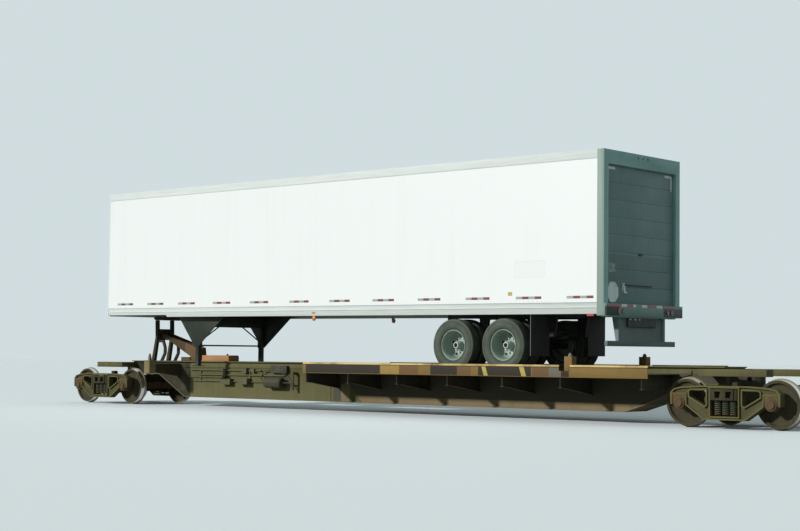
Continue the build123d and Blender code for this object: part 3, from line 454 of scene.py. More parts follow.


# The side frames and the bolster are rough steel castings under years of olive dust, brown where the
# bearings and the brakes shed rust. Their edges are rounded as the mould left them. The side frames'
# recesses, the bolster and the brake beams are painted darker, as painted shade.
frame_face_y = 1.06
bearing_reach = 0.15
bearing_low = 0.30
bearing_top = 0.60
recess_painted_shade = (0.045, 0.042, 0.024)


def pick_only(piece):
    """Nothing but this piece is selected and active."""
    bpy.ops.object.select_all(action="DESELECT")
    piece.select_set(True)
    bpy.context.view_layer.objects.active = piece


def bevelled(piece, width, segments=2):
    """Every hard edge of the piece is rounded."""
    pick_only(piece)
    bevel = piece.modifiers.new("ease", "BEVEL")
    bevel.width = width
    bevel.segments = segments
    bevel.limit_method = "ANGLE"
    bevel.angle_limit = radians(32)
    bpy.ops.object.modifier_apply(modifier="ease")
    return piece


def eased(node, width, material):
    """The CAD node's own shape with every hard edge eased, as cast or pressed steel has it."""
    piece = bpy.data.objects.new(node + "_eased", nodes[node].data.copy())
    bpy.context.scene.collection.objects.link(piece)
    pick_only(piece)
    bpy.ops.object.mode_set(mode="EDIT")
    bpy.ops.mesh.select_all(action="SELECT")
    bpy.ops.mesh.remove_doubles(threshold=0.00002)
    bpy.ops.mesh.dissolve_limited(angle_limit=radians(1.5))
    bpy.ops.object.mode_set(mode="OBJECT")
    bevelled(piece, width)
    bpy.ops.object.shade_smooth_by_angle(angle=radians(40))
    painted(piece, material)
    stand_for(piece, node)


side_frame_cast = weathered("side_frame_casting", (0.104, 0.096, 0.038), (0.150, 0.138, 0.056), 0.65, 0.30,
                            0.85)
# Inside the side frames' outer faces the casting is painted darker: painted shade in the recesses.
coated(side_frame_cast, recess_painted_shade, 0.55, ("Y", -frame_face_y, frame_face_y))
rusted = grain(side_frame_cast, 7.0, low=0.25, high=0.6)
for truck in "ab":
    for number in "12":
        place = middle_of(f"axle_{truck}{number}").x
        coated(side_frame_cast, bearing_brown, 0.8, ("X", place - bearing_reach, place + bearing_reach),
               ("Z", bearing_low, bearing_top), rusted)
# The bolster and the brake beams take a far darker copy of the casting: painted shade inside the truck.
shaded_cast = weathered("casting_painted_shade", (0.030, 0.028, 0.015), (0.066, 0.060, 0.028), 0.5, 0.35, 0.85)
for truck in "ab":
    eased(f"truck_{truck}_side_frames", 0.010, side_frame_cast)
    eased(f"truck_{truck}_bolster", 0.008, shaded_cast)
    eased(f"truck_{truck}_brake_beams", 0.005, shaded_cast)


# Nests of coil springs stand between each side frame and the bolster's end, wound from round bar with
# ground ends. The outer row of three shows in the side frame's window.
coil_wire = 0.0135
coil_radius = 0.0545
coil_turns = 7
coil_steps = 20
coil_rust = (0.105, 0.062, 0.028)
coil_feet = ("Z", 0.20, 0.275)
spring_steel = weathered("spring_steel", (0.044, 0.050, 0.036), (0.085, 0.086, 0.050), 0.5, 0.35, 0.6)
coated(spring_steel, coil_rust, 0.7, coil_feet)
for truck in "ab":
    low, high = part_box(f"truck_{truck}_springs")
    coil = started(bpy.ops.mesh.primitive_circle_add, vertices=8, radius=coil_wire, rotation=across,
                   location=(coil_radius, 0, 0))
    screw = coil.modifiers.new("wind", "SCREW")
    screw.axis = "Z"
    screw.screw_offset = (high.z - low.z - 2 * coil_wire) / coil_turns
    screw.iterations = coil_turns
    screw.steps = coil_steps
    screw.render_steps = coil_steps
    screw.use_smooth_shade = True
    bpy.ops.object.modifier_apply(modifier="wind")
    coils = []
    for x, y in ((-0.150, 1.003), (0.0, 1.003), (0.150, 1.003), (-0.080, 0.863), (0.080, 0.863)):
        for side in (-1, 1):
            coils.append(copied(coil, ((low.x + high.x) / 2 + x, side * y, low.z + coil_wire)))
    bpy.data.objects.remove(coil)
    nest = joined(coils, f"coil_springs_{truck}")
    bpy.ops.object.mode_set(mode="EDIT")
    bpy.ops.mesh.select_all(action="SELECT")
    bpy.ops.mesh.normals_make_consistent(inside=False)
    bpy.ops.object.mode_set(mode="OBJECT")
    painted(nest, spring_steel)
    stand_for(nest, f"truck_{truck}_springs")


# The spine is a welded box of thick plate, dull yellow once, now the colour of the dust on it. The webs
# beside the hitch are painted almost black, as painted shade. The side-bearing arms are dark; the end
# castings and cross arms are painted darker still, as painted shade under the deck.
olive_dust = (0.142, 0.133, 0.058)
dark_painted_shade = (0.026, 0.023, 0.016)
edge_dust_and_highlight = (0.19, 0.165, 0.095)
deck_shade = (0.075, 0.070, 0.053)
lit_tan = (0.200, 0.160, 0.090)
lit_foot_tan = (0.230, 0.170, 0.096)
doubler_x = -6.1705
flange_edge_y = 0.362
past_end = 12.0
shade_start = -0.25
shade_lean = 1.06
lit_foot_z = 0.355


def dress(names, material):
    """CAD nodes whose shape stays get their finish."""
    for name in names:
        painted(nodes[name], material)


car_paint = weathered("spine_paint", (0.100, 0.094, 0.038), olive_dust, 0.6, 0.30, 0.8,
                      rust=(0.090, 0.050, 0.024))
on_web = ("Y", -flange_edge_y, flange_edge_y)
# Left of the doubler's edge the web is painted near black: painted shade.
coated(car_paint, dark_painted_shade, 0.9, ("X", -past_end, doubler_x), on_web, grain(car_paint, 3.0, low=0.05, high=0.5))
# Beyond the web, on the flanges, a lighter tan: dust, and a painted highlight along the lit flange edges.
coated(car_paint, edge_dust_and_highlight, 0.6, outside(car_paint, *on_web), grain(car_paint, 5.0, low=0.2, high=0.6))
# Under the deck the web is painted with the deck's shadow, and with painted sunlit patches near the deck's
# start.
# start and end along the car, lean towards the nose with height, lowest and highest point, colour
web_light_and_shade = [
    (shade_start, past_end, shade_lean, lit_foot_z, 0.94, deck_shade),
    (-1.36, -1.13, 0.0, 0.20, 0.94, deck_shade), (-1.36, -0.50, 0.0, 0.61, 0.94, deck_shade),
    (-1.13, -0.86, 0.0, 0.20, 0.61, lit_tan)]
for start, end, lean, low_z, high_z, tone in web_light_and_shade:
    coated(car_paint, tone, 0.85, ("X", start, end, lean), ("Z", low_z, high_z), on_web)
# A painted sunlit strip runs along the foot of the web, below the deck's painted shadow.
coated(car_paint, lit_foot_tan, 0.8, ("X", shade_start, past_end, shade_lean), ("Z", 0.20, lit_foot_z),
       grain(car_paint, 4.0, low=0.1, high=0.5))
arm_steel = weathered("arm_steel", (0.096, 0.087, 0.039), (0.142, 0.128, 0.057), 0.55, 0.30, 0.85)
# The cross arms, end connectors and reservoirs take a far darker steel: painted shade under the deck.
shaded_steel = weathered("underframe_painted_shade", (0.045, 0.041, 0.030), (0.088, 0.080, 0.056), 0.4, 0.35, 0.85)
eased("spine", 0.004, car_paint)
eased("body_side_bearings", 0.006, arm_steel)
eased("crossbearers", 0.003, shaded_steel)
dress(["end_connectors", "air_reservoirs"], shaded_steel)

# The fixed container pedestals stand on outriggers, ochre with a bare steel lock on top. Their arms by the
# spine are painted dark, as painted shade.
bare_lock = (0.17, 0.175, 0.15)
end_locks = ("Z", 1.086, 1.30)
outrigger_roots = ("Y", -1.10, 1.10)
pedestal_ochre = weathered("pedestal_ochre", (0.30, 0.235, 0.115), (0.22, 0.185, 0.105), 0.45, 0.35, 0.75)
coated(pedestal_ochre, bare_lock, 0.9, end_locks)
coated(pedestal_ochre, dark_painted_shade, 0.8, outrigger_roots)
eased("end_pedestals", 0.006, pedestal_ochre)


# Brake pipes run along the near web with their clamps and valves. The brake cylinder, its lever, rod and
# hose hang beside them, all under the same dust.
pipe_paint = weathered("pipe_paint", (0.085, 0.080, 0.050), olive_dust, 0.5, 0.3, 0.6)
gear_paint = weathered("brake_gear_paint", (0.045, 0.043, 0.032), (0.095, 0.090, 0.058), 0.45, 0.35, 0.7)
dress(["brake_pipes"], pipe_paint)
eased("brake_gear", 0.003, gear_paint)


# The tyre decks are pressed plate with a raised and lipped sill along the outer edge. The sill is ochre paint
# gone dull, with brown and grey patches and blank black stencil panels. Its lip is pale, partly worn and
# partly a painted highlight, with a painted shadow line under it.
sill_ochre = (0.232, 0.150, 0.046)
sill_dust = (0.200, 0.132, 0.046)
sill_bright = (0.330, 0.225, 0.066)
sill_brown = (0.150, 0.090, 0.042)
panel_black = (0.024, 0.024, 0.022)
panel_yellow = (0.50, 0.40, 0.10)
patch_grey = (0.150, 0.145, 0.120)
deck_dust = (0.105, 0.095, 0.070)
sill_low = 0.86
lip_low = 1.046
lip_wear_and_highlight = (0.74, 0.53, 0.22)
under_lip_painted_shadow = (0.045, 0.034, 0.020)
lip_shadow = 0.016
folding_locks = ("Z", 1.238, 1.40)


def sill_paint(name, patches):
    """Weathered ochre, with patches along the car, a painted shadow under the lip and a pale lip, worn and
    painted as a highlight.
    """
    material = weathered(name, sill_ochre, sill_dust, 0.5, 0.50, 0.75)
    worn = grain(material, 9.0, low=0.18, high=0.36)
    for start, end, lean, paint in patches:
        coated(material, paint, 0.92, ("X", start, end, lean), ("Z", sill_low, lip_low), worn)
    coated(material, deck_dust, 0.85, ("Y", -1.385, 1.385), ("Z", 0.90, 1.05))
    # A dark line just under the lip: the painted shadow of its overhang.
    coated(material, under_lip_painted_shadow, 0.8, ("Z", lip_low - lip_shadow, lip_low))
    # The lip is pale: partly wear, partly a painted highlight along its edge.
    coated(material, lip_wear_and_highlight, 0.85, ("Z", lip_low, 1.09), grain(material, 2.0, (1, 0.1, 0.1), 0.30, 0.55))
    return material


# start and end along the car, lean towards the nose with height, paint
near_patches = [
    (1.02, 1.53, 0.0, sill_bright), (-1.15, 1.00, 0.0, panel_black), (1.53, 2.04, 0.0, sill_brown),
    (2.36, 3.05, 0.0, panel_black), (3.05, 3.40, 0.0, sill_brown), (3.58, 4.85, 0.0, panel_black),
    (4.02, 4.12, 0.35, panel_yellow), (4.93, 5.04, 0.35, panel_yellow), (4.88, 5.26, 0.0, sill_brown),
    (5.27, 5.52, 0.0, patch_grey), (5.54, 5.72, 0.0, panel_black)]
eased("platform_near", 0.003, sill_paint("sill_paint_near", near_patches))
eased("platform_far", 0.003, sill_paint("sill_paint_far", []))
folding_paint = weathered("folding_pedestal_paint", (0.26, 0.155, 0.055), (0.20, 0.135, 0.058), 0.45, 0.45)
coated(folding_paint, bare_lock, 0.9, folding_locks)
for side in ("near", "far"):
    eased(f"pedestal_{side}", 0.004, folding_paint)


# The hitch stands on the spine: a head plate with the kingpin's lock, two black legs, a sloping dusty strut
# that is rusty at its foot, and the orange housing of its screw.
strut_rust = (0.20, 0.115, 0.060)
base_brown = (0.085, 0.058, 0.036)
strut_foot = ("X", -6.62, -6.0)
screw_end = ("X", -8.0, -5.972)
hitch_steel = weathered("hitch_steel", (0.034, 0.031, 0.024), (0.095, 0.084, 0.056), 0.35, 0.35, 0.8,
                        rust=(0.10, 0.052, 0.03))
strut_tan = weathered("strut_tan", (0.062, 0.045, 0.022), (0.095, 0.068, 0.034), 0.5, 0.40, 0.8,
                      rust=(0.13, 0.065, 0.035))
coated(strut_tan, strut_rust, 0.6, strut_foot)
hitch_orange = weathered("hitch_orange", (0.46, 0.235, 0.095), (0.34, 0.20, 0.10), 0.35, 0.25, 0.75)
coated(hitch_orange, base_brown, 0.95, screw_end)
eased("hitch_head", 0.005, hitch_steel)
eased("hitch_legs", 0.005, hitch_steel)
eased("hitch_strut", 0.005, strut_tan)
eased("hitch_base", 0.006, hitch_orange)


# The van's sides are smooth white plastic-faced panels, clean but for faint stains that run down from the
# rail and a paler square where a sign once was. Its nose is of the same panel.
trailer_front = -8.2215
trailer_rear = 6.4085
rail_bottom = 2.036
rail_height = 0.220
roof_top = 5.056
wall_y = 1.290
nose_rise = 0.112
tandem_middle = Vector((3.4555, 0.0, 1.4453))
tilt = atan2(nose_rise, trailer_rear - trailer_front)
sign_low = (4.37, 2.715)
sign_high = (5.10, 3.035)
near_side = ("Y", -1.40, -1.25)

van_white = bare_material("van_white_panel", 0.30)
stain = grain(van_white, 2.2, (2.6, 2.6, 0.10), 0.50, 0.95)
cloud = grain(van_white, 0.6, low=0.35, high=0.85)
stained = together(van_white, stain, cloud)
coloured(van_white, mixed(van_white, stained, (0.86, 0.885, 0.86), (0.70, 0.72, 0.69)))
for inset, tone, amount in ((0.0, (0.70, 0.73, 0.71), 0.45), (0.014, (0.835, 0.86, 0.835), 1.0)):
    coated(van_white, tone, amount, ("X", sign_low[0] + inset, sign_high[0] - inset),
           ("Z", sign_low[1] + inset, sign_high[1] - inset), near_side)
roughened(van_white, 0.05, 1.2, distance=0.02)
shader_of(van_white).inputs["Coat Weight"].default_value = 0.15
dress(["trailer_side_near", "trailer_side_far", "trailer_front_wall"], van_white)


# Aluminium extrusions frame the sides above and below, dull with age, with a row of rivets along each. The
# roof is one thin sheet over them, grey with what settles on it.
van_aluminium = two_toned("van_aluminium", 0.6, ((0.67, 0.71, 0.67), (0.56, 0.60, 0.57)),
                          (4.0, (0.4, 8.0, 8.0), 0.3, 0.75), (0.12, 90.0))
for rails in ("trailer_top_rails", "trailer_bottom_rails"):
    eased(rails, 0.003, van_aluminium)
roof_white = weathered("roof_sheet", (0.40, 0.42, 0.41), (0.30, 0.31, 0.29), 0.5, 0.2, 0.85, lying=0.2,
                       rust=(0.22, 0.20, 0.17))
dress(["trailer_roof"], roof_white)


def seated(piece):
    """What is drawn on the level trailer goes nose up, as the trailer stands on its hitch."""
    turn = Matrix.Rotation(tilt, 4, "Y")
    piece.data.transform(Matrix.Translation(tandem_middle) @ turn @ Matrix.Translation(-tandem_middle))
    return piece


def added(piece, material):
    """A new piece rides on the root body, in its finish."""
    painted(piece, material)
    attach(piece, "root")


rivet_pitch = 0.1016
rivet_count = 140
rivet_inset = 0.12
rows = []
# place across, height
for rivet_y, rivet_z in ((1.285, rail_bottom + 0.070), (wall_y, rail_bottom + rail_height + 0.022),
                         (1.291, roof_top - 0.085)):
    rivet = started(bpy.ops.mesh.primitive_cone_add, vertices=6, radius1=0.008, radius2=0.004, depth=0.004,
                    rotation=across, location=(trailer_front + rivet_inset, -rivet_y - 0.002, rivet_z))
    array = rivet.modifiers.new("row", "ARRAY")
    array.count = rivet_count
    array.use_relative_offset = False
    array.use_constant_offset = True
    array.constant_offset_displace = (rivet_pitch, 0, 0)
    bpy.ops.object.modifier_apply(modifier="row")
    rows += [rivet, reflected(copied(rivet))]
added(seated(joined(rows, "rail_rivets")), van_aluminium)


# Strips of reflecting tape run along the sides just above the rail, in equal lengths of white and red, and
# along the rear bumper. White corners of the same tape mark the top of the doorway.
def tape(name, colour, worn_colour):
    """Prismatic tape: fine cells under a clear face, worn dull in patches."""
    material = bare_material(name, 0.35)
    cells = material.node_tree.nodes.new("ShaderNodeTexVoronoi")
    cells.inputs["Scale"].default_value = 260.0
    place = material.node_tree.nodes.new("ShaderNodeTexCoord")
    material.node_tree.links.new(place.outputs["Object"], cells.inputs["Vector"])
    shade = mixed(material, together(material, cells.outputs["Distance"], 0.5), colour, worn_colour)
    shade = mixed(material, grain(material, 5.0, low=0.45, high=0.8), shade, worn_colour)
    coloured(material, shade)
    shader_of(material).inputs["Coat Weight"].default_value = 0.3
    return material


def patch(low, high, ease=0.0003):
    """A thin piece between two corners, its edges eased."""
    low, high = Vector(low), Vector(high)
    piece = started(bpy.ops.mesh.primitive_cube_add, size=1, location=(low + high) / 2, scale=high - low)
    return bevelled(piece, ease)


tape_white = tape("white_tape", (0.80, 0.82, 0.80), (0.55, 0.57, 0.55))
tape_red = tape("red_tape", (0.34, 0.045, 0.035), (0.22, 0.05, 0.045))
# The same tape is coloured duller on the sides than at the rear: painted light, the sides lit, the rear in
# shade.
for strip, side_painted_light in ((tape_white, (0.31, 0.34, 0.30)), (tape_red, (0.150, 0.030, 0.024))):
    coated(strip, side_painted_light, 0.9, outside(strip, "Y", -1.280, 1.280))
tape_height = 0.050
tape_thickness = 0.0012
tape_sunk = 0.0003
segment = 0.150
strip_low = rail_bottom + 0.285
strip_middles = (-7.52, -6.375, -5.24, -4.016, -2.766, -1.498, -0.277, 0.975, 2.218, 3.464, 4.703, 5.885)
pieces = {"white": [], "red": []}
for strip in strip_middles:
    for step, paint in enumerate(("white", "red", "white", "red")):
        start = strip + (step - 2) * segment
        cut = patch((start, -wall_y - tape_thickness, strip_low),
                    (start + segment - 0.001, -wall_y + tape_sunk, strip_low + tape_height))
        pieces[paint] += [cut, reflected(copied(cut))]
bumper_x = trailer_rear + 0.066
bumper_low = rail_bottom + 0.140
# start and end across, paint
for start, end, paint in ((-1.27, -0.82, "red"), (-0.81, -0.63, "white"), (-0.62, -0.43, "red"),
                          (-0.42, -0.33, "white"), (-0.13, 0.05, "white"), (0.06, 0.36, "red"),
                          (0.37, 0.57, "white"), (0.58, 1.00, "red")):
    pieces[paint].append(patch((bumper_x - tape_sunk, start, bumper_low),
                               (bumper_x + tape_thickness, end, bumper_low + tape_height)))
door_x = trailer_rear - 0.062
corner_y = 1.100
corner_top = roof_top - 0.302
corner_bottom = corner_top - 0.045
# width and lowest point of a corner's two legs, and their highest point
for width, leg_low, leg_high in ((0.25, corner_bottom, corner_top),
                                 (0.045, corner_bottom - 0.25, corner_bottom - 0.0005)):
    leg = patch((door_x - tape_sunk, -corner_y, leg_low),
                (door_x + tape_thickness, width - corner_y, leg_high))
    pieces["white"] += [leg, reflected(copied(leg))]
added(seated(joined(pieces["white"], "white_tape_strips")), tape_white)
added(seated(joined(pieces["red"], "red_tape_strips")), tape_red)

# A small blank label and an amber reflector are stuck to the near side.
label = patch((4.22, -wall_y - tape_thickness, 2.385), (4.32, -wall_y + tape_sunk, 2.455), 0.0004)
label.name = "side_label"
added(label, tape("blank_label", (0.50, 0.38, 0.08), (0.42, 0.34, 0.12)))
reflector_amber = tape("amber_reflector", (0.62, 0.20, 0.02), (0.45, 0.15, 0.03))
reflector = patch((-1.10, -1.289, rail_bottom + 0.045), (-1.00, -1.284, rail_bottom + 0.080), 0.002)
reflector.name = "side_reflector"
added(seated(reflector), reflector_amber)

# A round amber turn lamp hangs on a tab below each side rail, under the marker.
lamp_x = -1.05
lamp_z = rail_bottom - 0.055
# radius, place across
turn_rings = [(0.0005, 1.258), (0.046, 1.258), (0.051, 1.262), (0.054, 1.268), (0.054, 1.278), (0.050, 1.284),
              (0.036, 1.290), (0.016, 1.293), (0.0005, 1.294)]
turn_lamp = lathe(turn_rings, (lamp_x, 0, lamp_z), 36)
turn_tab = patch((lamp_x - 0.030, -1.268, rail_bottom - 0.020), (lamp_x + 0.030, -1.256, rail_bottom + 0.002),
                 0.002)
near_turn = joined([turn_lamp, turn_tab], "turn_lamp")
both_turns = joined([near_turn, reflected(copied(near_turn))], "turn_lamps")
added(seated(both_turns), reflector_amber)


# On the nose wall a steel plate carries two air couplings and, between them, the socket for the lamps'
# cable, each with a lid over its mouth.
def block(start, end, y, z, half_width, half_height, ease):
    """A piece that stands out along the car from start to end, about a place across it and a height."""
    return patch((start, y - half_width, z - half_height), (end, y + half_width, z + half_height), ease)


plate_z = rail_bottom + 0.42
plate_face = trailer_front - 0.006
along = (0, radians(90), 0)
nose_steel = weathered("nose_fitting_steel", (0.10, 0.105, 0.10), (0.17, 0.175, 0.165), 0.4, 0.25, 0.5, 0.3,
                       0.2)
nose_pieces = [block(trailer_front - 0.008, trailer_front + 0.001, 0.0, plate_z, 0.300, 0.075, 0.002)]
# place across, radius, reach
for place, radius, reach in ((-0.20, 0.034, 0.060), (0.0, 0.042, 0.075), (0.20, 0.034, 0.060)):
    coupling = started(bpy.ops.mesh.primitive_cylinder_add, vertices=24, radius=radius, depth=reach,
                       rotation=along, location=(plate_face - reach / 2, place, plate_z))
    lid = block(plate_face - reach + 0.004, plate_face, place, plate_z + 0.90 * radius, 0.75 * radius,
                0.35 * radius, 0.004)
    nose_pieces += [bevelled(coupling, 0.006, 3), lid]
added(seated(joined(nose_pieces, "nose_fittings")), nose_steel)


# The rear frame is painted steel, grey with road film, round a roll-up door of hinged panels set back in
# it. One paint is coloured bluer on the rear faces and greyer on the posts' side faces, as painted light:
# shade at the rear, key light on the sides. The bumper's lamp pockets at its ends are painted dark, as
# painted shade.
rear_grey = weathered("rear_frame_grey", (0.31, 0.55, 0.53), (0.26, 0.45, 0.43), 0.35, 0.12, 0.5, lying=0.2,
                      rust=(0.14, 0.13, 0.11))
post_side_painted_light = (0.275, 0.345, 0.300)
bumper_grey = (0.19, 0.28, 0.26)
pocket_painted_shade = (0.045, 0.052, 0.050)
bumper_face = ("X", 6.440, 6.60)
pocket_height = ("Z", 1.99, 2.155)
# The posts' side faces take a greyer tone than the rear faces of the same paint: painted light.
coated(rear_grey, post_side_painted_light, 0.9, outside(rear_grey, "Y", -1.284, 1.284))
coated(rear_grey, bumper_grey, 0.7, bumper_face)
# Dark patches painted on the bumper's face: painted shade of the recessed lamp pockets.
for start, end in ((-1.30, -0.88), (0.62, 1.30)):
    coated(rear_grey, pocket_painted_shade, 0.85, ("Y", start, end), pocket_height, bumper_face)
door_shade = (0.090, 0.140, 0.140)
door_worn = (0.50, 0.60, 0.57)
low_panels = ("Z", 2.20, 3.12)
worn_across = ("Y", -1.05, -0.83)
worn_height = ("Z", 2.79, 2.955)
door_grey = weathered("rear_door_grey", (0.215, 0.340, 0.345), (0.180, 0.272, 0.272), 0.45, 0.12, 0.45,
                      lying=0.2, rust=(0.12, 0.13, 0.12))
coated(door_grey, door_shade, 0.35, low_panels)
coated(door_grey, door_worn, 0.7, worn_across, worn_height, grain(door_grey, 16.0, low=0.35, high=0.55))
eased("trailer_rear_frame", 0.005, rear_grey)
eased("trailer_rear_door", 0.003, door_grey)

# On the door are a blank sign holder of pressed aluminium with a clip at each corner, and a latch.
holder_grey = weathered("holder_aluminium", (0.66, 0.78, 0.75), (0.52, 0.62, 0.59), 0.4, 0.2, 0.45, 0.2, 0,
                        rust=(0.30, 0.32, 0.29))
holder_y = -0.920
holder_z = rail_bottom + 0.410
holder_radius = 0.200
clip_reach = 0.165 * cos(radians(45))
latch_y = -0.560
latch_z = rail_bottom + 0.495
holder = started(bpy.ops.mesh.primitive_cylinder_add, vertices=8, radius=holder_radius, depth=0.006,
                 location=(door_x + 0.003, holder_y, holder_z), rotation=along)
holder_middle = Vector((0, holder_y, holder_z))
holder.data.transform(Matrix.Translation(holder_middle) @ Matrix.Rotation(radians(22.5), 4, "X")
                      @ Matrix.Translation(-holder_middle))
bpy.ops.object.mode_set(mode="EDIT")
bpy.ops.mesh.select_mode(type="FACE")
bpy.ops.mesh.select_all(action="DESELECT")
bpy.ops.object.mode_set(mode="OBJECT")
for face in holder.data.polygons:
    face.select = face.normal.x > 0.9
bpy.ops.object.mode_set(mode="EDIT")
bpy.ops.mesh.inset(thickness=0.016, depth=0.0)
bpy.ops.mesh.inset(thickness=0.003, depth=-0.003)
bpy.ops.mesh.select_mode(type="VERT")
bpy.ops.object.mode_set(mode="OBJECT")
door_fittings = [holder]
for clip_y in (holder_y - clip_reach, holder_y + clip_reach):
    for clip_z in (holder_z - clip_reach, holder_z + clip_reach):
        door_fittings.append(block(door_x + 0.002, door_x + 0.012, clip_y, clip_z, 0.018, 0.018, 0.003))
# from and to outwards, across, height, half width, half height, easing: plate, handle and its tongue
for start, end, y, z, half_width, half_height, ease in (
        (-0.002, 0.010, latch_y, latch_z, 0.045, 0.090, 0.003),
        (0.008, 0.034, latch_y, latch_z - 0.035, 0.020, 0.065, 0.006),
        (0.008, 0.030, latch_y + 0.035, latch_z - 0.085, 0.050, 0.015, 0.005)):
    door_fittings.append(block(door_x + start, door_x + end, y, z, half_width, half_height, ease))
added(seated(joined(door_fittings, "door_fittings")), holder_grey)

# A long pull bar, a middle handle, the latch's bolts and a box of plate lamps under the bumper are dark.
fitting_dark = weathered("fitting_dark", (0.030, 0.033, 0.032), (0.065, 0.070, 0.066), 0.4, 0.3, 0.5,
                         lying=0.2)
dark_fittings = [
    block(door_x - 0.001, door_x + 0.020, -0.0675, rail_bottom + 0.549, 0.4595, 0.011, 0.004),
    block(door_x - 0.001, door_x + 0.022, 0.0, rail_bottom + 1.135, 0.060, 0.015, 0.004),
    block(trailer_rear - 0.036, trailer_rear, -0.0125, rail_bottom - 0.135, 0.4775, 0.087, 0.006)]
for bolt_y in (latch_y - 0.03025, latch_y + 0.03025):
    for bolt_z in (latch_z - 0.06875, latch_z + 0.06875):
        dark_fittings.append(block(door_x + 0.009, door_x + 0.016, bolt_y, bolt_z, 0.011, 0.011, 0.003))
added(seated(joined(dark_fittings, "dark_fittings")), fitting_dark)
plate_lamps = [block(trailer_rear - 0.002, trailer_rear + 0.010, y, rail_bottom - 0.084, 0.022, 0.014, 0.006)
               for y in (-0.424, -0.263, -0.114)]
lamp_clear = tape("plate_lamp_lens", (0.80, 0.85, 0.82), (0.60, 0.62, 0.60))
added(seated(joined(plate_lamps, "plate_lamps")), lamp_clear)


# Under the floor everything is steel with black chassis paint, greyed by road dirt. The boards of the floor
# are hardwood, and the flaps behind the tyres are thick rubber sheet with a pale outer edge, a painted
# highlight.
chassis = weathered("chassis_black", (0.018, 0.018, 0.017), (0.060, 0.057, 0.047), 0.40, 0.3, 0.6, lying=0.3,
                    rust=(0.07, 0.035, 0.02))
dress(["trailer_crossmembers", "trailer_coupler", "slider_frame", "trailer_axles", "leaf_springs"], chassis)
guard_grey = weathered("guard_grey", (0.145, 0.200, 0.200), (0.120, 0.150, 0.140), 0.4, 0.3, 0.55, lying=0.3)
eased("rear_guard", 0.006, guard_grey)
landing_green = weathered("landing_green", (0.020, 0.028, 0.019), (0.042, 0.047, 0.032), 0.35, 0.2, 0.55,
                          lying=0.3)
eased("landing_gear", 0.004, landing_green)
floor_boards = two_toned("floor_boards", 0.7, ((0.24, 0.145, 0.075), (0.13, 0.078, 0.042)),
                         (6.0, (0.15, 8.0, 1.0), 0.3, 0.7), (0.2, 40.0, (0.2, 6.0, 1.0)))
dress(["trailer_floor"], floor_boards)
flap_edge_highlight = (0.24, 0.24, 0.26)
flap_rubber = two_toned("flap_rubber", 0.8, ((0.010, 0.011, 0.009), (0.028, 0.029, 0.023)),
                        (3.0, (1, 1, 1), 0.35, 0.75), (0.2, 150.0))
# The flaps' outer edge is painted pale: a painted highlight.
coated(flap_rubber, flap_edge_highlight, 0.9, ("Y", -1.2402, 1.2402), outside(flap_rubber, "Y", -1.2300, 1.2300))
dress(["mud_flaps"], flap_rubber)


# Eight radial tyres, worn and dusty. The tread has straight grooves, and the sidewall a raised shoulder, a
# scuff rib and a bead line.
tyre_rubber = two_toned("tyre_rubber", 0.85, ((0.063, 0.077, 0.060), (0.112, 0.133, 0.104)),
                        (4.0, (1, 1, 1), 0.30, 0.75), (0.25, 110.0))
shader_of(tyre_rubber).inputs["Specular IOR Level"].default_value = dusty_gloss
rings_place = tyre_rubber.node_tree.nodes.new("ShaderNodeUVMap")
rings_place.uv_map = "ring"
ring_split = tyre_rubber.node_tree.nodes.new("ShaderNodeSeparateXYZ")
tyre_rubber.node_tree.links.new(rings_place.outputs["UV"], ring_split.inputs["Vector"])
# Dark rings at the bead and under the shoulder are painted shade; pale rings on the sidewall and shoulder are
# painted highlights.
# radius, half width of the ring, tone, strength
for ring_radius, half_width, tone, amount in ((0.326, 0.012, (0.045, 0.052, 0.042), 0.7),
                                             (0.385, 0.016, (0.145, 0.160, 0.128), 0.35),
                                             (0.455, 0.020, (0.055, 0.062, 0.050), 0.45),
                                             (0.492, 0.012, (0.150, 0.165, 0.130), 0.45)):
    ring = linked_math(tyre_rubber.node_tree, "COMPARE", ring_split.outputs["X"], ring_radius, half_width)
    coated(tyre_rubber, tone, amount, ring, grain(tyre_rubber, 11.0, low=0.25, high=0.6))


def ring_map(piece, middle):
    """Each point's distance from the wheel's middle goes into the piece's own map."""
    layer = piece.data.uv_layers.new(name="ring")
    for loop in piece.data.loops:
        point = piece.data.vertices[loop.vertex_index].co
        layer.data[loop.index].uv = (hypot(point.x - middle.x, point.z - middle.z), point.y)


# radius, place across from the tyre's middle, from one bead to the tread's middle
tyre_half = [
    (0.290, 0.095), (0.306, 0.095), (0.313, 0.101), (0.318, 0.108), (0.330, 0.1165), (0.338, 0.118),
    (0.360, 0.129), (0.390, 0.1365), (0.415, 0.1378), (0.440, 0.1345), (0.464, 0.127), (0.467, 0.129),
    (0.474, 0.1275), (0.479, 0.1235), (0.496, 0.118), (0.506, 0.111), (0.511, 0.102), (0.513, 0.086),
    (0.5135, 0.070), (0.502, 0.068), (0.502, 0.060), (0.514, 0.058), (0.5145, 0.030), (0.502, 0.028),
    (0.502, 0.019), (0.5148, 0.017)]
twin_gap = 0.335
for number in "12":
    for side in ("near", "far"):
        middle = middle_of(f"tyres_{number}_{side}")
        rings = tyre_half + [(radius, -place) for radius, place in reversed(tyre_half)]
        pair = [lathe(rings, (middle.x, middle.y + offset, middle.z), 96, 35)
                for offset in (-twin_gap / 2, twin_gap / 2)]
        tyres = joined(pair, f"radial_tyres_{number}_{side}")
        ring_map(tyres, middle)
        painted(tyres, tyre_rubber)
        stand_for(tyres, f"tyres_{number}_{side}")


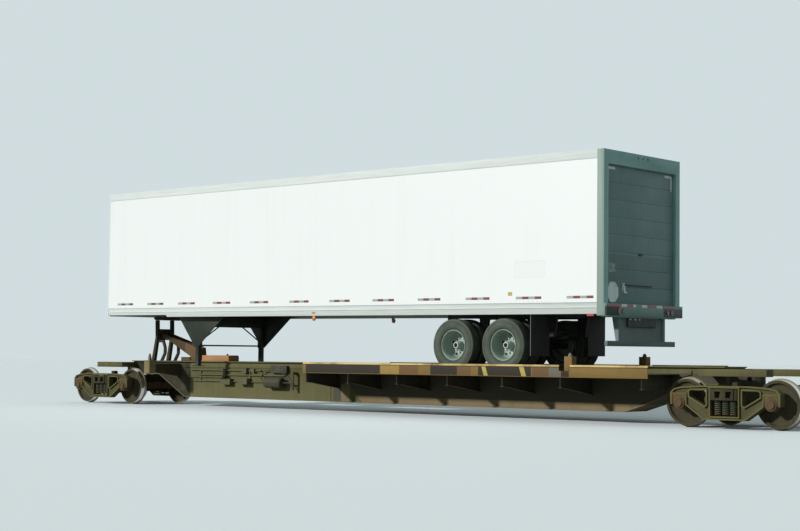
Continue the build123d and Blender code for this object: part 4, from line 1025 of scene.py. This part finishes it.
# The wheels are deep-dish steel discs, two back to back on each hub, with ten studs, hand holes near the
# rim and a domed grease cap. Their light grey paint is dulled by brake dust.
rim_grey = weathered("rim_grey", (0.37, 0.47, 0.41), (0.22, 0.27, 0.22), 0.5, 0.3, 0.5, lying=0,
                     rust=(0.12, 0.095, 0.065))
nut_bright = weathered("bright_nut", (0.62, 0.64, 0.60), (0.42, 0.43, 0.38), 0.3, 0.3, 0.4, 0.4, 0,
                       rust=(0.20, 0.15, 0.10))
hole_dark = weathered("hand_hole_shadow", (0.012, 0.012, 0.011), (0.030, 0.028, 0.024), 0.3, 0.2, 0.9,
                      lying=0)
# radius, place outwards from the joint of the two discs
dish_rings = [
    (0.3035, 0.061), (0.3035, 0.071), (0.2895, 0.073), (0.288, 0.110), (0.288, 0.225), (0.2895, 0.262),
    (0.3035, 0.264), (0.3038, 0.270), (0.301, 0.274), (0.296, 0.2745), (0.288, 0.270), (0.283, 0.262),
    (0.281, 0.245), (0.274, 0.233), (0.270, 0.210), (0.268, 0.120), (0.262, 0.082), (0.250, 0.048),
    (0.236, 0.025), (0.218, 0.015), (0.200, 0.018), (0.190, 0.014), (0.136, 0.014)]
hub_rings = [
    (0.136, 0.015), (0.133, 0.024), (0.106, 0.030), (0.086, 0.038), (0.080, 0.052), (0.078, 0.130),
    (0.072, 0.148), (0.064, 0.156), (0.060, 0.160), (0.060, 0.184), (0.054, 0.190), (0.044, 0.191),
    (0.042, 0.186), (0.0005, 0.185)]
back_rings = [
    (0.204, 0.0145), (0.2045, 0.030), (0.200, 0.036), (0.200, 0.170), (0.2045, 0.176), (0.2045, 0.195),
    (0.198, 0.199), (0.056, 0.199)]
cap_hollow = 0.043
stud_circle = 0.143
stud_count = 10
hole_circle = 0.212
hole_radius = 0.029
hole_count = 5
stud_out = 0.031
hole_out = 0.019
cap_rings = [(0.044, 0.1905), (0.0445, 0.195), (0.058, 0.1945), (0.0605, 0.188)]
finishes = [rim_grey, nut_bright, hole_dark]
for number in "12":
    for side in ("near", "far"):
        middle = middle_of(f"tyres_{number}_{side}")
        centre = (middle.x, 0, middle.z)
        dish = lathe(dish_rings, centre, 72, 35)
        parts = [dish, reflected(copied(dish)), lathe(hub_rings, centre, 48, 35),
                 reflected(lathe(back_rings, centre, 60, 35))]
        nuts = [lathe(cap_rings, centre, 48, 35)]
        for step in range(stud_count):
            place = around(middle, stud_circle, 360 / stud_count * step, stud_out)
            nuts.append(started(bpy.ops.mesh.primitive_cone_add, vertices=6, radius1=0.021, radius2=0.017,
                                depth=0.034, rotation=across, location=place))
        holes = []
        for step in range(hole_count):
            place = around(middle, hole_circle, 360 / hole_count * step + 18, hole_out)
            parts.append(started(bpy.ops.mesh.primitive_torus_add, major_radius=hole_radius,
                                 minor_radius=0.0035, major_segments=20, minor_segments=6, rotation=across,
                                 location=place))
            holes.append(started(bpy.ops.mesh.primitive_cylinder_add, vertices=20, radius=hole_radius,
                                 depth=0.006, rotation=across, location=place))
        groups = [joined(parts, "wheel_parts"), joined(nuts, "wheel_nuts"), joined(holes, "wheel_holes")]
        for index, group in enumerate(groups):
            painted(group, *finishes)
            for face in group.data.polygons:
                face.material_index = index
                if index == 0 and hypot(face.center.x - middle.x, face.center.z - middle.z) < cap_hollow:
                    face.material_index = finishes.index(hole_dark)
        wheel = joined(groups, f"dish_wheels_{number}_{side}")
        if side == "far":
            reflected(wheel)
        wheel.data.transform(Matrix.Translation(Vector((0, middle.y, 0))))
        stand_for(wheel, f"rims_{number}_{side}")


# Lamps: an amber marker under each side, a red one behind it, and red lamps on the rear frame. Their lenses
# are moulded plastic, and all are dark, since none is lit.
lamp_red = two_toned("lamp_red", 0.25, ((0.30, 0.025, 0.02), (0.16, 0.014, 0.012)),
                     (60.0, (1, 1, 1), 0.3, 0.8))
# axis, start, end, colour
for axis, start, end, lens in (("X", -1.20, -0.90, (0.60, 0.19, 0.02)), ("X", 6.00, 6.25, (0.50, 0.05, 0.06)),
                               ("X", 6.38, 6.60, (0.085, 0.022, 0.022)),
                               ("Z", 4.70, 5.20, (0.050, 0.040, 0.038))):
    coated(lamp_red, lens, 1.0, (axis, start, end))
shader_of(lamp_red).inputs["Coat Weight"].default_value = 0.4
dress(["lamps"], lamp_red)
